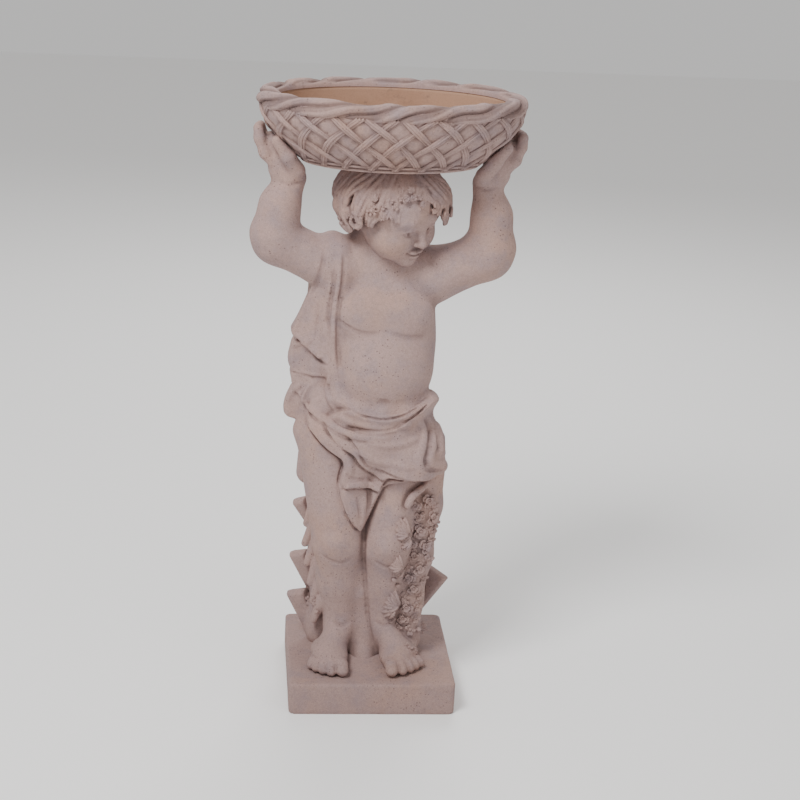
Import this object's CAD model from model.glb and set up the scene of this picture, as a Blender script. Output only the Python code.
"""A cast stone cherub on a square plinth, who carries an oval lattice basket on his head."""

import logging
import math
from collections.abc import Callable, Iterable, Sequence
from dataclasses import dataclass
from enum import Enum

import bpy
import numpy as np
from mathutils import Euler, Matrix, Vector
from mathutils.bvhtree import BVHTree


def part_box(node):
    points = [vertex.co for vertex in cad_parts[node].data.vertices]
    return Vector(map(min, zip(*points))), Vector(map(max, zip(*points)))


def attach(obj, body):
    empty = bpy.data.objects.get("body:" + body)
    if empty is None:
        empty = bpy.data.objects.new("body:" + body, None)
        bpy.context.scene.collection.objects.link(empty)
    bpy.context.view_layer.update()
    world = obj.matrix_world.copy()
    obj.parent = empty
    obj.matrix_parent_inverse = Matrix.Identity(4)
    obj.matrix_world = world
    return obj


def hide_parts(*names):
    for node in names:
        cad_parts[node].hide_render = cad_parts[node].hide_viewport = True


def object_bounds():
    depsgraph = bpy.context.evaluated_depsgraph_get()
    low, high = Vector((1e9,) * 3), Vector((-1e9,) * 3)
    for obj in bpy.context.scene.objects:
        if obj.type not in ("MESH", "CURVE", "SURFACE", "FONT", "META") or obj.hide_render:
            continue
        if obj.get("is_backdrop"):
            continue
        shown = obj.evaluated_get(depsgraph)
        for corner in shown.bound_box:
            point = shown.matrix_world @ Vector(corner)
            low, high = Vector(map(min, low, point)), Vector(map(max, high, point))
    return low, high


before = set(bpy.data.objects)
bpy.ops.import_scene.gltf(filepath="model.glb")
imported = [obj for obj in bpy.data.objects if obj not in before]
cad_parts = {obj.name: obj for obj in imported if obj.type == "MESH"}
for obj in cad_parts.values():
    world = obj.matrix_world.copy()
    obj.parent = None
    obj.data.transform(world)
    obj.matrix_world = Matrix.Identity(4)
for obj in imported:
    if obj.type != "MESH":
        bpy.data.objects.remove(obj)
CAD_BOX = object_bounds()

log = logging.getLogger("cherub")

Place = Sequence[float]
CREVICE = "crevice"
SHELTER_REACH = 0.003


# Working by hand in Blender

def select_only(*pieces: bpy.types.Object) -> None:
    """Leaves just these pieces selected, the first of them active.

    Args:
        pieces: The objects to select.
    """
    bpy.ops.object.select_all(action="DESELECT")
    for piece in pieces:
        piece.select_set(True)
    bpy.context.view_layer.objects.active = pieces[0]


def named(piece: bpy.types.Object, name: str) -> bpy.types.Object:
    """Gives an object and its data one name, and returns it."""
    piece.name = name
    piece.data.name = name
    return piece


def primitive(add: Callable[..., object], name: str, **sizes: object) -> bpy.types.Object:
    """Adds a primitive with nothing else selected.

    Args:
        add: The bpy.ops call that adds it.
        name: What to call it.
        sizes: The call's own sizes.

    Returns:
        The new object, selected and active.
    """
    bpy.ops.object.select_all(action="DESELECT")
    add(**sizes)
    return named(bpy.context.active_object, name)


def settle(piece: bpy.types.Object) -> None:
    """Moves an object's place, turn and scale into its mesh."""
    select_only(piece)
    bpy.ops.object.transform_apply(location=True, rotation=True, scale=True)


def finish_modifiers(piece: bpy.types.Object) -> None:
    """Applies every modifier of a piece in turn."""
    select_only(piece)
    for modifier in list(piece.modifiers):
        bpy.ops.object.modifier_apply(modifier=modifier.name)


def modify(piece: bpy.types.Object, kind: str, **settings: object) -> None:
    """Adds a modifier with its settings and applies it.

    Args:
        piece: The object to change.
        kind: The modifier's type, such as BEVEL.
        settings: Its properties by name.
    """
    modifier = piece.modifiers.new(kind.lower(), kind)
    for key, value in settings.items():
        setattr(modifier, key, value)
    finish_modifiers(piece)


def joined(pieces: Sequence[bpy.types.Object], name: str) -> bpy.types.Object:
    """Joins objects into the first of them and returns it under its name."""
    select_only(*pieces)
    bpy.ops.object.join()
    return named(bpy.context.active_object, name)


def copied(piece: bpy.types.Object, matrix: Matrix) -> bpy.types.Object:
    """A copy of a piece with a mesh of its own, moved by a matrix."""
    copy = piece.copy()
    copy.data = piece.data.copy()
    copy.data.transform(matrix)
    bpy.context.scene.collection.objects.link(copy)
    return copy


def discard(*pieces: bpy.types.Object) -> None:
    """Removes patterns that have been copied."""
    for piece in pieces:
        bpy.data.objects.remove(piece)


def faces_out(piece: bpy.types.Object) -> None:
    """Turns a closed mesh's faces outwards."""
    select_only(piece)
    bpy.ops.object.mode_set(mode="EDIT")
    bpy.ops.mesh.select_all(action="SELECT")
    bpy.ops.mesh.normals_make_consistent(inside=False)
    bpy.ops.object.mode_set(mode="OBJECT")


def mesh_points(mesh: bpy.types.Mesh) -> np.ndarray:
    """A mesh's vertices as an array of points."""
    points = np.empty(len(mesh.vertices) * 3, np.float32)
    mesh.vertices.foreach_get("co", points)
    return points.reshape(-1, 3)


def set_points(piece: bpy.types.Object, points: np.ndarray) -> None:
    """Puts the vertices of a piece at new points."""
    piece.data.vertices.foreach_set("co", points.astype(np.float32).ravel())


def mesh_normals(mesh: bpy.types.Mesh) -> np.ndarray:
    """A mesh's vertex normals as an array."""
    normals = np.empty(len(mesh.vertices) * 3, np.float32)
    mesh.vertex_normals.foreach_get("vector", normals)
    return normals.reshape(-1, 3)


def store_crevice(piece: bpy.types.Object, depth: np.ndarray) -> None:
    """Keeps how sheltered each vertex is, from 0 to 1, where the stone's material reads it.

    Args:
        piece: The piece to mark.
        depth: One value for each vertex.
    """
    layer = piece.data.attributes.get(CREVICE) or piece.data.attributes.new(CREVICE, "FLOAT", "POINT")
    layer.data.foreach_set("value", np.clip(depth, 0, 1).astype(np.float32))


def shelter_between(pieces: Sequence[bpy.types.Object], reach: float) -> None:
    """Marks the places of some pieces that lie close to another of them.

    Args:
        pieces: The pieces, each of which gets its own marks.
        reach: How far away a neighbour still shelters, in metres.
    """
    graph = bpy.context.evaluated_depsgraph_get()
    trees = {piece: BVHTree.FromObject(piece, graph) for piece in pieces}
    for piece in pieces:
        others = [tree for other, tree in trees.items() if other is not piece]
        near = []
        for vertex in piece.data.vertices:
            hits = [tree.find_nearest(vertex.co, reach)[3] for tree in others]
            near.append(min((hit for hit in hits if hit is not None), default=reach))
        store_crevice(piece, 1 - np.array(near) / reach)


# Shader maths

def feed(tree: bpy.types.NodeTree, slot: bpy.types.NodeSocket, value: "Wire | Place | float") -> None:
    """Links a wire to a socket, or sets a plain value there."""
    if isinstance(value, Wire):
        tree.links.new(value.socket, slot)
    else:
        slot.default_value = value


class Wire:
    """A shader socket that is written as a number in an expression."""

    def __init__(self, tree: bpy.types.NodeTree, socket: bpy.types.NodeSocket) -> None:
        """Wraps a socket of a tree."""
        self.tree, self.socket = tree, socket

    def _math(self, operation: str, *values: "Wire | float") -> "Wire":
        """A Math node on some values.

        Args:
            operation: The node's operation.
            values: Its inputs in order, wires or plain numbers.

        Returns:
            The node's result.
        """
        node = self.tree.nodes.new("ShaderNodeMath")
        node.operation = operation
        for slot, value in zip(node.inputs, values):
            feed(self.tree, slot, value)
        return Wire(self.tree, node.outputs[0])

    def __add__(self, other: "Wire | float") -> "Wire":
        """self + other."""
        return self._math("ADD", self, other)

    __radd__ = __add__

    def __sub__(self, other: "Wire | float") -> "Wire":
        """self - other."""
        return self._math("SUBTRACT", self, other)

    def __mul__(self, other: "Wire | float") -> "Wire":
        """self * other."""
        return self._math("MULTIPLY", self, other)

    def clamped(self) -> "Wire":
        """The value held between 0 and 1."""
        return self._math("MINIMUM", self._math("MAXIMUM", self, 0.0), 1.0)

    def step(self, low: float, high: float) -> "Wire":
        """0 at low, 1 at high and even between them; low may be the greater."""
        return ((self - low) * (1 / (high - low))).clamped()


class Recipe:
    """Builds one material's nodes."""

    def __init__(self, name: str) -> None:
        """Starts a material with an empty tree."""
        self.material = bpy.data.materials.new(name)
        self.material.use_nodes = True
        self.tree = self.material.node_tree
        self.tree.nodes.clear()

    def node(self, kind: str, settings: dict[str, object] | None = None, **inputs: object) -> bpy.types.Node:
        """Adds a node.

        Args:
            kind: The node's type.
            settings: Its properties, set first.
            inputs: Values or wires for its sockets, with underscores for the spaces in their names.

        Returns:
            The node.
        """
        node = self.tree.nodes.new(kind)
        for key, value in (settings or {}).items():
            setattr(node, key, value)
        for key, value in inputs.items():
            feed(self.tree, node.inputs[key.replace("_", " ")], value)
        return node

    def wire(self, node: bpy.types.Node, output: str | int = 0) -> Wire:
        """One output of a node as a wire."""
        return Wire(self.tree, node.outputs[output])

    def noise(self, place: Wire, scale: float, detail: float = 3.0, roughness: float = 0.55) -> Wire:
        """Soft noise over the object, from 0 to 1, scale times to the metre."""
        return self.wire(self.node(
            "ShaderNodeTexNoise", Vector=place, Scale=scale, Detail=detail, Roughness=roughness), "Fac")

    def mix(self, share: Wire | float, first: Wire | Place, second: Wire | Place) -> Wire:
        """A colour between two colours."""
        node = self.node("ShaderNodeMix", {"data_type": "RGBA"})
        for index, value in zip((0, 6, 7), (share, first, second)):
            feed(self.tree, node.inputs[index], value)
        return self.wire(node, 2)

    def shade(self, **inputs: object) -> bpy.types.Material:
        """Closes the tree with a Principled BSDF and its output."""
        shader = self.node("ShaderNodeBsdfPrincipled", **inputs)
        output = self.node("ShaderNodeOutputMaterial")
        self.tree.links.new(shader.outputs[0], output.inputs["Surface"])
        return self.material


def rgba(red: float, green: float, blue: float) -> tuple[float, float, float, float]:
    """An opaque colour from sRGB values of 11 to 255."""
    return (*(((c / 255 + 0.055) / 1.055) ** 2.4 for c in (red, green, blue)), 1.0)


def tinted(colour: Place, times: float) -> tuple[float, float, float, float]:
    """A colour some times as bright, still opaque."""
    return (*(min(1.0, c * times) for c in colour[:3]), 1.0)


@dataclass(frozen=True)
class CastStone:
    """Cast stone: fine grain, small air holes, faint stains, and dirt in the hollows and near the ground.

    Attributes:
        name: The material's name.
        body: The plain surface.
        warm: The orange stain.
        cool: The blue grey bloom.
        dirt: What lies in the hollows.
        stain: How strong the orange stain is at its most.
        bloom: How strong the grey bloom is at its most.
        soil: How strong the dirt in the hollows is.
        splash: How strong the dirt near the ground is.
        splash_height: Up to where the ground's dirt reaches, in metres.
        holes: How much of the surface has air holes, from 0 to 1.
        hole_scale: How many cells with one hole each lie along a metre.
        relief: How strongly the grain stands out.
    """

    name: str = "cast_stone"
    body: Place = rgba(172, 145, 139)
    warm: Place = rgba(184, 142, 118)
    cool: Place = rgba(142, 128, 134)
    dirt: Place = rgba(76, 55, 50)
    stain: float = 0.55
    bloom: float = 0.6
    soil: float = 0.55
    splash: float = 0.26
    splash_height: float = 0.4
    holes: float = 0.8
    hole_scale: float = 230.0
    relief: float = 0.32

    def make(self) -> bpy.types.Material:
        """The material, on Object coordinates and the crevice attribute."""
        recipe = Recipe(self.name)
        place = recipe.wire(recipe.node("ShaderNodeTexCoord"), "Object")
        hollow = recipe.wire(recipe.node("ShaderNodeAttribute", {"attribute_name": CREVICE}), "Fac")
        broad = recipe.noise(place, 7.0, 4.0)
        cloud = recipe.noise(place, 31.0, 5.0, 0.62)
        grain = recipe.noise(place, 620.0, 3.0, 0.7)
        sand = recipe.noise(place, 210.0, 4.0, 0.7)
        colour = recipe.mix(broad.step(0.5, 0.74) * self.stain, self.body, self.warm)
        colour = recipe.mix(cloud.step(0.46, 0.7) * self.bloom, colour, self.cool)
        fleck = (grain.step(0.58, 0.36) * 0.35 + sand.step(0.56, 0.3) * 0.3).clamped()
        colour = recipe.mix(fleck, colour, tinted(self.body, 0.52))
        colour = recipe.mix(grain.step(0.56, 0.72) * 0.35, colour, tinted(self.body, 1.28))
        hole = self._holes(recipe, place)
        colour = recipe.mix(hole * 0.72, colour, self.dirt)
        soil = ((hollow * 1.25 + (cloud - 0.5) * 0.35 * hollow).step(0.12, 0.95) * self.soil).clamped()
        colour = recipe.mix(soil, colour, self.dirt)
        low = recipe.wire(recipe.node("ShaderNodeSeparateXYZ", Vector=place), 2)
        colour = recipe.mix(low.step(self.splash_height, 0.0) * self.splash, colour, self.dirt)
        lumps = recipe.noise(place, 95.0, 3.0)
        height = lumps * 0.5 + sand * 0.32 + grain * 0.16 - hole * 0.9
        bump = recipe.node("ShaderNodeBump", Strength=self.relief, Distance=0.0012, Height=height)
        return recipe.shade(
            Base_Color=colour, Roughness=(0.86 + fleck * 0.1).clamped(), Normal=recipe.wire(bump),
            Specular_IOR_Level=0.28)

    def _holes(self, recipe: Recipe, place: Wire) -> Wire:
        """Small round air holes, gathered in patches."""
        cells = recipe.node("ShaderNodeTexVoronoi", Vector=place, Scale=self.hole_scale)
        middle = recipe.wire(cells, "Distance").step(0.3, 0.16)
        lot = recipe.wire(recipe.node("ShaderNodeSeparateColor", Color=recipe.wire(cells, "Color")))
        patch = recipe.noise(place, 17.0, 2.0).step(0.4, 0.6)
        return (middle * lot.step(0.94 - 0.3 * self.holes, 1.0).step(0.0, 0.15) * patch).clamped()


@dataclass(frozen=True)
class TanLining:
    """The tan inside of the basket, with water marks and darker scuffs.

    Attributes:
        name: The material's name.
        body: The dry colour.
        damp: The stain near the floor.
        scuff: The rubbed grey patches.
    """

    name: str = "tan_lining"
    body: Place = rgba(172, 138, 116)
    damp: Place = rgba(153, 118, 96)
    scuff: Place = rgba(126, 104, 92)

    def make(self) -> bpy.types.Material:
        """The material, on Object coordinates."""
        recipe = Recipe(self.name)
        place = recipe.wire(recipe.node("ShaderNodeTexCoord"), "Object")
        cloud = recipe.noise(place, 22.0, 5.0, 0.6)
        grain = recipe.noise(place, 520.0, 3.0, 0.7)
        colour = recipe.mix(cloud.step(0.45, 0.72) * 0.6, self.body, self.damp)
        colour = recipe.mix(recipe.noise(place, 58.0, 4.0, 0.7).step(0.6, 0.72) * 0.7, colour, self.scuff)
        colour = recipe.mix(grain.step(0.54, 0.3) * 0.4, colour, tinted(self.body, 0.6))
        bump = recipe.node("ShaderNodeBump", Strength=0.25, Distance=0.001, Height=grain * 0.4 + cloud * 0.6)
        return recipe.shade(Base_Color=colour, Roughness=0.9, Normal=recipe.wire(bump), Specular_IOR_Level=0.25)


@dataclass(frozen=True)
class PaleFloor:
    """The plain floor of the studio.

    Attributes:
        name: The material's name.
        body: Its one colour.
    """

    name: str = "pale_floor"
    body: Place = rgba(244, 243, 242)

    def make(self) -> bpy.types.Material:
        """The material, the same all over."""
        return Recipe(self.name).shade(Base_Color=self.body, Roughness=0.75, Specular_IOR_Level=0.2)


# Clay: shapes as distances, which a grid gathers and skins

@dataclass(frozen=True)
class Drawing:
    """The drawing that the figure is modelled on: 831 units from the plinth's top to the crown.

    Attributes:
        floor: The plinth's height in metres.
        unit: One unit of the drawing in metres.
        drawn_floor: The drawing's height of the plinth's top.
    """

    floor: float
    unit: float
    drawn_floor: float = 54.0

    def at(self, x: float, y: float, z: float) -> np.ndarray:
        """A point of the drawing in metres."""
        return np.array((x * self.unit, y * self.unit, self.floor + (z - self.drawn_floor) * self.unit))


PLINTH_HEIGHT = 0.054
SEAT_GAP = 0.0003
DRAWN_HEIGHT = 831.0
BASKET_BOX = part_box("basket")
BASKET_BASE = BASKET_BOX[0][2] - SEAT_GAP
DRAWING = Drawing(PLINTH_HEIGHT, (BASKET_BASE - PLINTH_HEIGHT) / DRAWN_HEIGHT)
UNIT = DRAWING.unit
at = DRAWING.at


def melt(a: np.ndarray, b: np.ndarray, blend: float) -> np.ndarray:
    """The nearer of two distances, run together over the blend's width."""
    if blend <= 0:
        return np.minimum(a, b)
    near = np.maximum(blend - np.abs(a - b), 0) / blend
    return np.minimum(a, b) - near * near * blend / 4


def smooth_step(low: float, high: float, value: np.ndarray | float) -> np.ndarray:
    """0 below low, 1 above high and an even rise between them."""
    t = np.clip((value - low) / (high - low), 0, 1)
    return t * t * (3 - 2 * t)


def curve_through(points: Sequence[Place], steps: int = 5) -> np.ndarray:
    """A smooth line through some points.

    Args:
        points: The places that it passes, each of any number of values.
        steps: How many stretches lie between two of them.

    Returns:
        The line's points.
    """
    p = np.array(points, float)
    p = np.vstack((2 * p[0] - p[1], p, 2 * p[-1] - p[-2]))
    line = []
    for a, b, c, d in zip(p, p[1:], p[2:], p[3:]):
        for t in np.arange(steps) / steps:
            line.append(0.5 * (2 * b + (c - a) * t + (2 * a - 5 * b + 4 * c - d) * t ** 2
                               + (3 * b - a - 3 * c + d) * t ** 3))
    return np.array(line + [p[-2]])


def rounded_outline(points: Sequence[Place], rounds: int = 2) -> np.ndarray:
    """A closed outline with its corners cut back, so that a hem runs in curves."""
    line = np.array(points, float)
    for _ in range(rounds):
        after = np.roll(line, -1, axis=0)
        line = np.stack((line * 0.8 + after * 0.2, line * 0.2 + after * 0.8), axis=1).reshape(-1, 2)
    return line


def outline_distance(outline: np.ndarray, x: np.ndarray, z: np.ndarray) -> np.ndarray:
    """Distance to a closed outline in the XZ plane, negative inside."""
    best, inside = np.inf, False
    for (x0, z0), (x1, z1) in zip(outline, np.roll(outline, -1, axis=0)):
        run, rise = x1 - x0, z1 - z0
        if abs(run) + abs(rise) < 1e-9:
            continue
        t = np.clip(((x - x0) * run + (z - z0) * rise) / (run * run + rise * rise), 0, 1)
        best = np.minimum(best, (x - x0 - run * t) ** 2 + (z - z0 - rise * t) ** 2)
        if abs(rise) > 1e-9:
            inside = inside ^ (((z0 > z) != (z1 > z)) & (x < run * (z - z0) / rise + x0))
    return np.where(inside, -1, 1) * np.sqrt(best)


class Bone:
    """A tapered round bar, which can be flatter along one direction."""

    def __init__(self, a: Place, b: Place, start: float, end: float,
                 flat: Place | None = None, times: float = 1.0) -> None:
        """Places the bar.

        Args:
            a: Its first end, in metres.
            b: Its other end.
            start: Its radius at a, in units.
            end: Its radius at b.
            flat: The direction in which it is flatter.
            times: How many times thinner it is there.
        """
        self.a, self.b = np.array(a, float), np.array(b, float)
        self.start, self.end = start * UNIT, end * UNIT
        self.flat = None if flat is None else np.array(Vector(flat).normalized())
        self.times = times

    def reach(self) -> tuple[np.ndarray, np.ndarray]:
        """The corners of the space that it takes."""
        size = max(self.start, self.end)
        return np.minimum(self.a, self.b) - size, np.maximum(self.a, self.b) + size

    def distance(self, x: np.ndarray, y: np.ndarray, z: np.ndarray) -> np.ndarray:
        """Distance to its surface, negative inside."""
        run = self.b - self.a
        px, py, pz = x - self.a[0], y - self.a[1], z - self.a[2]
        t = np.clip((px * run[0] + py * run[1] + pz * run[2]) / max(run @ run, 1e-12), 0, 1)
        px, py, pz = px - t * run[0], py - t * run[1], pz - t * run[2]
        if self.flat is not None:
            n = self.flat
            extra = (px * n[0] + py * n[1] + pz * n[2]) * (self.times - 1)
            px, py, pz = px + extra * n[0], py + extra * n[1], pz + extra * n[2]
        return np.sqrt(px * px + py * py + pz * pz) - (self.start + (self.end - self.start) * t)


class Egg:
    """An ellipsoid with its radii along its own axes."""

    def __init__(self, centre: Place, radii: Place, turn: Matrix | None = None) -> None:
        """Places the egg, its centre in metres and its radii in units."""
        self.centre = np.array(centre, float)
        self.radii = np.array(radii, float) * UNIT
        self.turn = np.eye(3) if turn is None else np.array(turn)

    def reach(self) -> tuple[np.ndarray, np.ndarray]:
        """The corners of the space that it takes."""
        size = self.radii.max()
        return self.centre - size, self.centre + size

    def distance(self, x: np.ndarray, y: np.ndarray, z: np.ndarray) -> np.ndarray:
        """Distance to its surface, negative inside."""
        px, py, pz = x - self.centre[0], y - self.centre[1], z - self.centre[2]
        near, steep = 0, 0
        for axis in range(3):
            n = self.turn[:, axis]
            along = (px * n[0] + py * n[1] + pz * n[2]) / self.radii[axis]
            near = near + along * along
            steep = steep + (along / self.radii[axis]) ** 2
        near, steep = np.sqrt(near), np.sqrt(steep)
        return near * (near - 1) / np.maximum(steep, 1e-9)


class Wedge:
    """A slab that widens from its root to a flat cut end, as a pruned leaf stalk does."""

    def __init__(self, root: Place, tip: Place, across: Place, root_size: Place, tip_size: Place,
                 slant: float = 0.0) -> None:
        """Places the slab.

        Args:
            root: The middle of its narrow end, in metres.
            tip: The middle of its cut end.
            across: The direction of its width.
            root_size: Half width and half thickness at the root, in units.
            tip_size: The same at the tip.
            slant: How much lower the cut runs on its outer side, for each unit of thickness.
        """
        self.root, self.length = np.array(root, float), float(np.linalg.norm(np.array(tip) - root))
        self.up = (np.array(tip, float) - root) / self.length
        side = np.array(across, float)
        side = side - (side @ self.up) * self.up
        self.side = side / np.linalg.norm(side)
        self.out = np.cross(self.side, self.up)
        self.root_size, self.tip_size = np.array(root_size) * UNIT, np.array(tip_size) * UNIT
        self.slant = slant

    def reach(self) -> tuple[np.ndarray, np.ndarray]:
        """The corners of the space that it takes."""
        size, tip = self.tip_size.max() * 1.5, self.root + self.up * self.length
        return np.minimum(self.root, tip) - size, np.maximum(self.root, tip) + size

    def distance(self, x: np.ndarray, y: np.ndarray, z: np.ndarray) -> np.ndarray:
        """Distance to its surface, negative inside, its edges a little rounded."""
        p = (x - self.root[0], y - self.root[1], z - self.root[2])
        u, v, w = (sum(a * b for a, b in zip(p, axis)) for axis in (self.up, self.side, self.out))
        t = np.clip(u / self.length, 0, 1)
        wide, thick = (r + (s - r) * t for r, s in zip(self.root_size, self.tip_size))
        bow = wide * np.sqrt(np.clip(1 - (np.abs(w) / (thick * 1.6)) ** 2, 0.05, 1))
        walls = (np.abs(v) - bow, np.abs(w) - thick, u - self.length + np.abs(w) * self.slant, -u)
        edge = 3.0 * UNIT
        far = walls[0]
        for wall in walls[1:]:
            far = -melt(-far, -wall, edge)
        return far


class Sheet:
    """A thick sheet with an outline drawn in the XZ plane, leaning."""

    def __init__(self, outline: Sequence[Place], depth: float, lean: float, tilt: float, about: Place,
                 half: float) -> None:
        """Places the sheet.

        Args:
            outline: Its outline in units.
            depth: Where its middle lies over the point about.
            lean: How far it comes forward for each unit of x.
            tilt: The same for each unit of z.
            about: The point where depth holds.
            half: Half its thickness.
        """
        drawn = rounded_outline(outline)
        self.outline = np.array([at(x, 0, z)[[0, 2]] for x, z in drawn])
        self.depth, self.lean, self.tilt, self.half = depth * UNIT, lean, tilt, half * UNIT
        self.about = at(about[0], 0, about[1])

    def middle(self, x: np.ndarray | float, z: np.ndarray | float) -> np.ndarray | float:
        """The depth of its middle at a place."""
        return self.depth - self.lean * (x - self.about[0]) - self.tilt * (z - self.about[2])

    def reach(self) -> tuple[np.ndarray, np.ndarray]:
        """The corners of the space that it takes."""
        (x0, z0), (x1, z1) = self.outline.min(0), self.outline.max(0)
        middles = sorted(self.middle(x, z) for x in (x0, x1) for z in (z0, z1))
        return np.array((x0, middles[0] - self.half, z0)), np.array((x1, middles[-1] + self.half, z1))

    def distance(self, x: np.ndarray, y: np.ndarray, z: np.ndarray) -> np.ndarray:
        """Distance to its surface, negative inside."""
        edge = self.half * 0.3
        side = outline_distance(self.outline, x, z) + edge
        face = np.abs(y - self.middle(x, z)) - self.half + edge
        outside = np.sqrt(np.maximum(side, 0) ** 2 + np.maximum(face, 0) ** 2)
        return outside + np.minimum(np.maximum(side, face), 0) - edge


Form = Bone | Egg | Wedge | Sheet


def chain(places: Sequence[np.ndarray], sizes: Sequence[float]) -> list[Form]:
    """Bones from place to place, each place in metres with its radius in units."""
    return [Bone(a, b, start, end) for a, b, start, end in zip(places, places[1:], sizes, sizes[1:])]


class Clay:
    """Points on a regular grid, each with its distance to the modelled surface, negative inside.

    FAR is the distance of empty space in metres. HOLLOW_REACHES are the distances, in units, at which a
    hollow is felt for, and HOLLOW_TIMES and HOLLOW_LESS scale what is found to 0 to 1.
    """

    FAR = 0.06
    HOLLOW_REACHES = (2.5, 5.0, 10.0, 18.0)
    HOLLOW_TIMES, HOLLOW_LESS = 1.5, 0.12

    def __init__(self, low: Place, high: Place, step: float) -> None:
        """An empty grid between two corners, in metres."""
        self.step = step
        self.first = np.floor(np.array(low) / step).astype(int)
        self.last = np.ceil(np.array(high) / step).astype(int) + 1
        self.value = np.full(self.last - self.first, self.FAR, np.float32)

    def copy(self) -> "Clay":
        """The same clay again."""
        return self.part(self.first, self.last, self.value.copy())

    def part(self, first: np.ndarray, last: np.ndarray, value: np.ndarray) -> "Clay":
        """Clay with its own distances on a part of the same grid."""
        other = object.__new__(Clay)
        other.step, other.first, other.last, other.value = self.step, first, last, value
        return other

    def window(self, low: np.ndarray, high: np.ndarray) -> tuple[tuple[slice, ...], tuple[np.ndarray, ...]]:
        """The slices of the grid between two corners, and the coordinates there."""
        first = np.clip(np.floor(low / self.step).astype(int), self.first, self.last)
        last = np.clip(np.ceil(high / self.step).astype(int) + 1, first, self.last)
        slices = tuple(slice(a, b) for a, b in zip(first - self.first, last - self.first))
        return slices, np.ix_(*((self.step * np.arange(a, b)).astype(np.float32) for a, b in zip(first, last)))

    def add(self, form: Form, blend: float = 0.0) -> None:
        """Adds a form, run together with what is there over a blend in units."""
        self._apply(form, blend * UNIT, 1)

    def cut(self, form: Form, blend: float = 0.0) -> None:
        """Cuts a form out."""
        self._apply(form, blend * UNIT, -1)

    def _apply(self, form: Form, blend: float, sign: int) -> None:
        """Adds a form, or cuts it with a sign of -1."""
        low, high = form.reach()
        margin = blend + 3 * self.step
        slices, (x, y, z) = self.window(low - margin, high + margin)
        here = self.value[slices]
        if here.size:
            self.value[slices] = sign * melt(sign * here, form.distance(x, y, z), blend)

    def add_group(self, forms: Sequence[Form], inner: float, outer: float) -> None:
        """Adds forms that run together among themselves first, so that they meet the rest at a crease.

        Args:
            forms: The forms.
            inner: The blend among them, in units.
            outer: The blend with what is there.
        """
        reaches = [form.reach() for form in forms]
        margin = max(inner, outer) * UNIT + 3 * self.step
        low = np.min([r[0] for r in reaches], axis=0) - margin
        high = np.max([r[1] for r in reaches], axis=0) + margin
        first = np.clip(np.floor(low / self.step).astype(int), self.first, self.last - 2)
        last = np.clip(np.ceil(high / self.step).astype(int), first + 1, self.last)
        group = self.part(first, last, np.full(last - first, self.FAR, np.float32))
        for form in forms:
            group.add(form, inner)
        slices = tuple(slice(a, b) for a, b in zip(first - self.first, last - self.first))
        self.value[slices] = melt(self.value[slices], group.value, outer * UNIT)

    def raise_front(self, outline: Sequence[Place], height: float, back: float = 10.0, soft: float = 0.8,
                    sink: float = 2.2) -> None:
        """Lifts the front of the surface inside an outline, as a layer of cloth lies on it.

        Args:
            outline: The layer's outline in units.
            height: How thick it is.
            back: The depth behind which nothing is lifted.
            soft: Half the width of its edge.
            sink: How deep a narrow valley runs along the outside of its hem.
        """
        drawn = np.array([at(x, 0, z)[[0, 2]] for x, z in rounded_outline(outline)])
        margin = 10 * UNIT
        low = np.array((drawn[:, 0].min(), -1.0, drawn[:, 1].min())) - margin
        high = np.array((drawn[:, 0].max(), 1.0, drawn[:, 1].max())) + margin
        slices, (x, y, z) = self.window(low, high)
        width = max(soft * UNIT, 0.4 * self.step)
        far = outline_distance(drawn, x, z)
        lift = height * UNIT * (1 - smooth_step(-width, width, far))
        lift = lift - sink * UNIT * np.exp(-((far - 1.8 * UNIT) / (2.2 * UNIT)) ** 2)
        front = 1 - smooth_step((back - 15) * UNIT, back * UNIT, y)
        self.value[slices] -= (lift * front).astype(np.float32)

    def front(self, x: float, z: float, lift: float = 0.0) -> np.ndarray:
        """The first point of the surface seen from the front at a place of the drawing, lifted by some units."""
        spot = at(x, 0, z)
        i, _, k = np.clip(np.round(spot / self.step).astype(int), self.first, self.last - 1) - self.first
        column = self.value[i, :, k]
        solid = np.flatnonzero(column < 0)
        if not len(solid) or solid[0] == 0:
            return np.array((spot[0], 0.0, spot[2]))
        j = solid[0]
        share = column[j] / (column[j] - column[j - 1])
        return np.array((spot[0], (self.first[1] + j - share) * self.step - lift * UNIT, spot[2]))

    def trace(self, points: Sequence[Place], lift: float) -> np.ndarray:
        """A smooth line over the front of the surface through places of the drawing."""
        return np.array([self.front(x, z, lift) for x, z in curve_through(points, 4)])

    def ridge(self, points: Sequence[Place], radius: float, lift: float, blend: float) -> None:
        """Lays a fold along a line on the front, thinner towards its ends."""
        line = self.trace(points, lift)
        sizes = radius * (0.45 + 0.55 * np.sin(np.linspace(0.25, math.pi - 0.25, len(line))))
        self.add_group(chain(line, sizes), blend, blend)

    def groove(self, points: Sequence[Place], radius: float, lift: float = 0.0, blend: float = 2.0) -> None:
        """Cuts a line into the front, shallower towards its ends."""
        line = self.trace(points, lift)
        sizes = radius * (0.35 + 0.65 * np.sin(np.linspace(0.2, math.pi - 0.2, len(line))))
        for bone in chain(line, sizes):
            self.cut(bone, blend)

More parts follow.
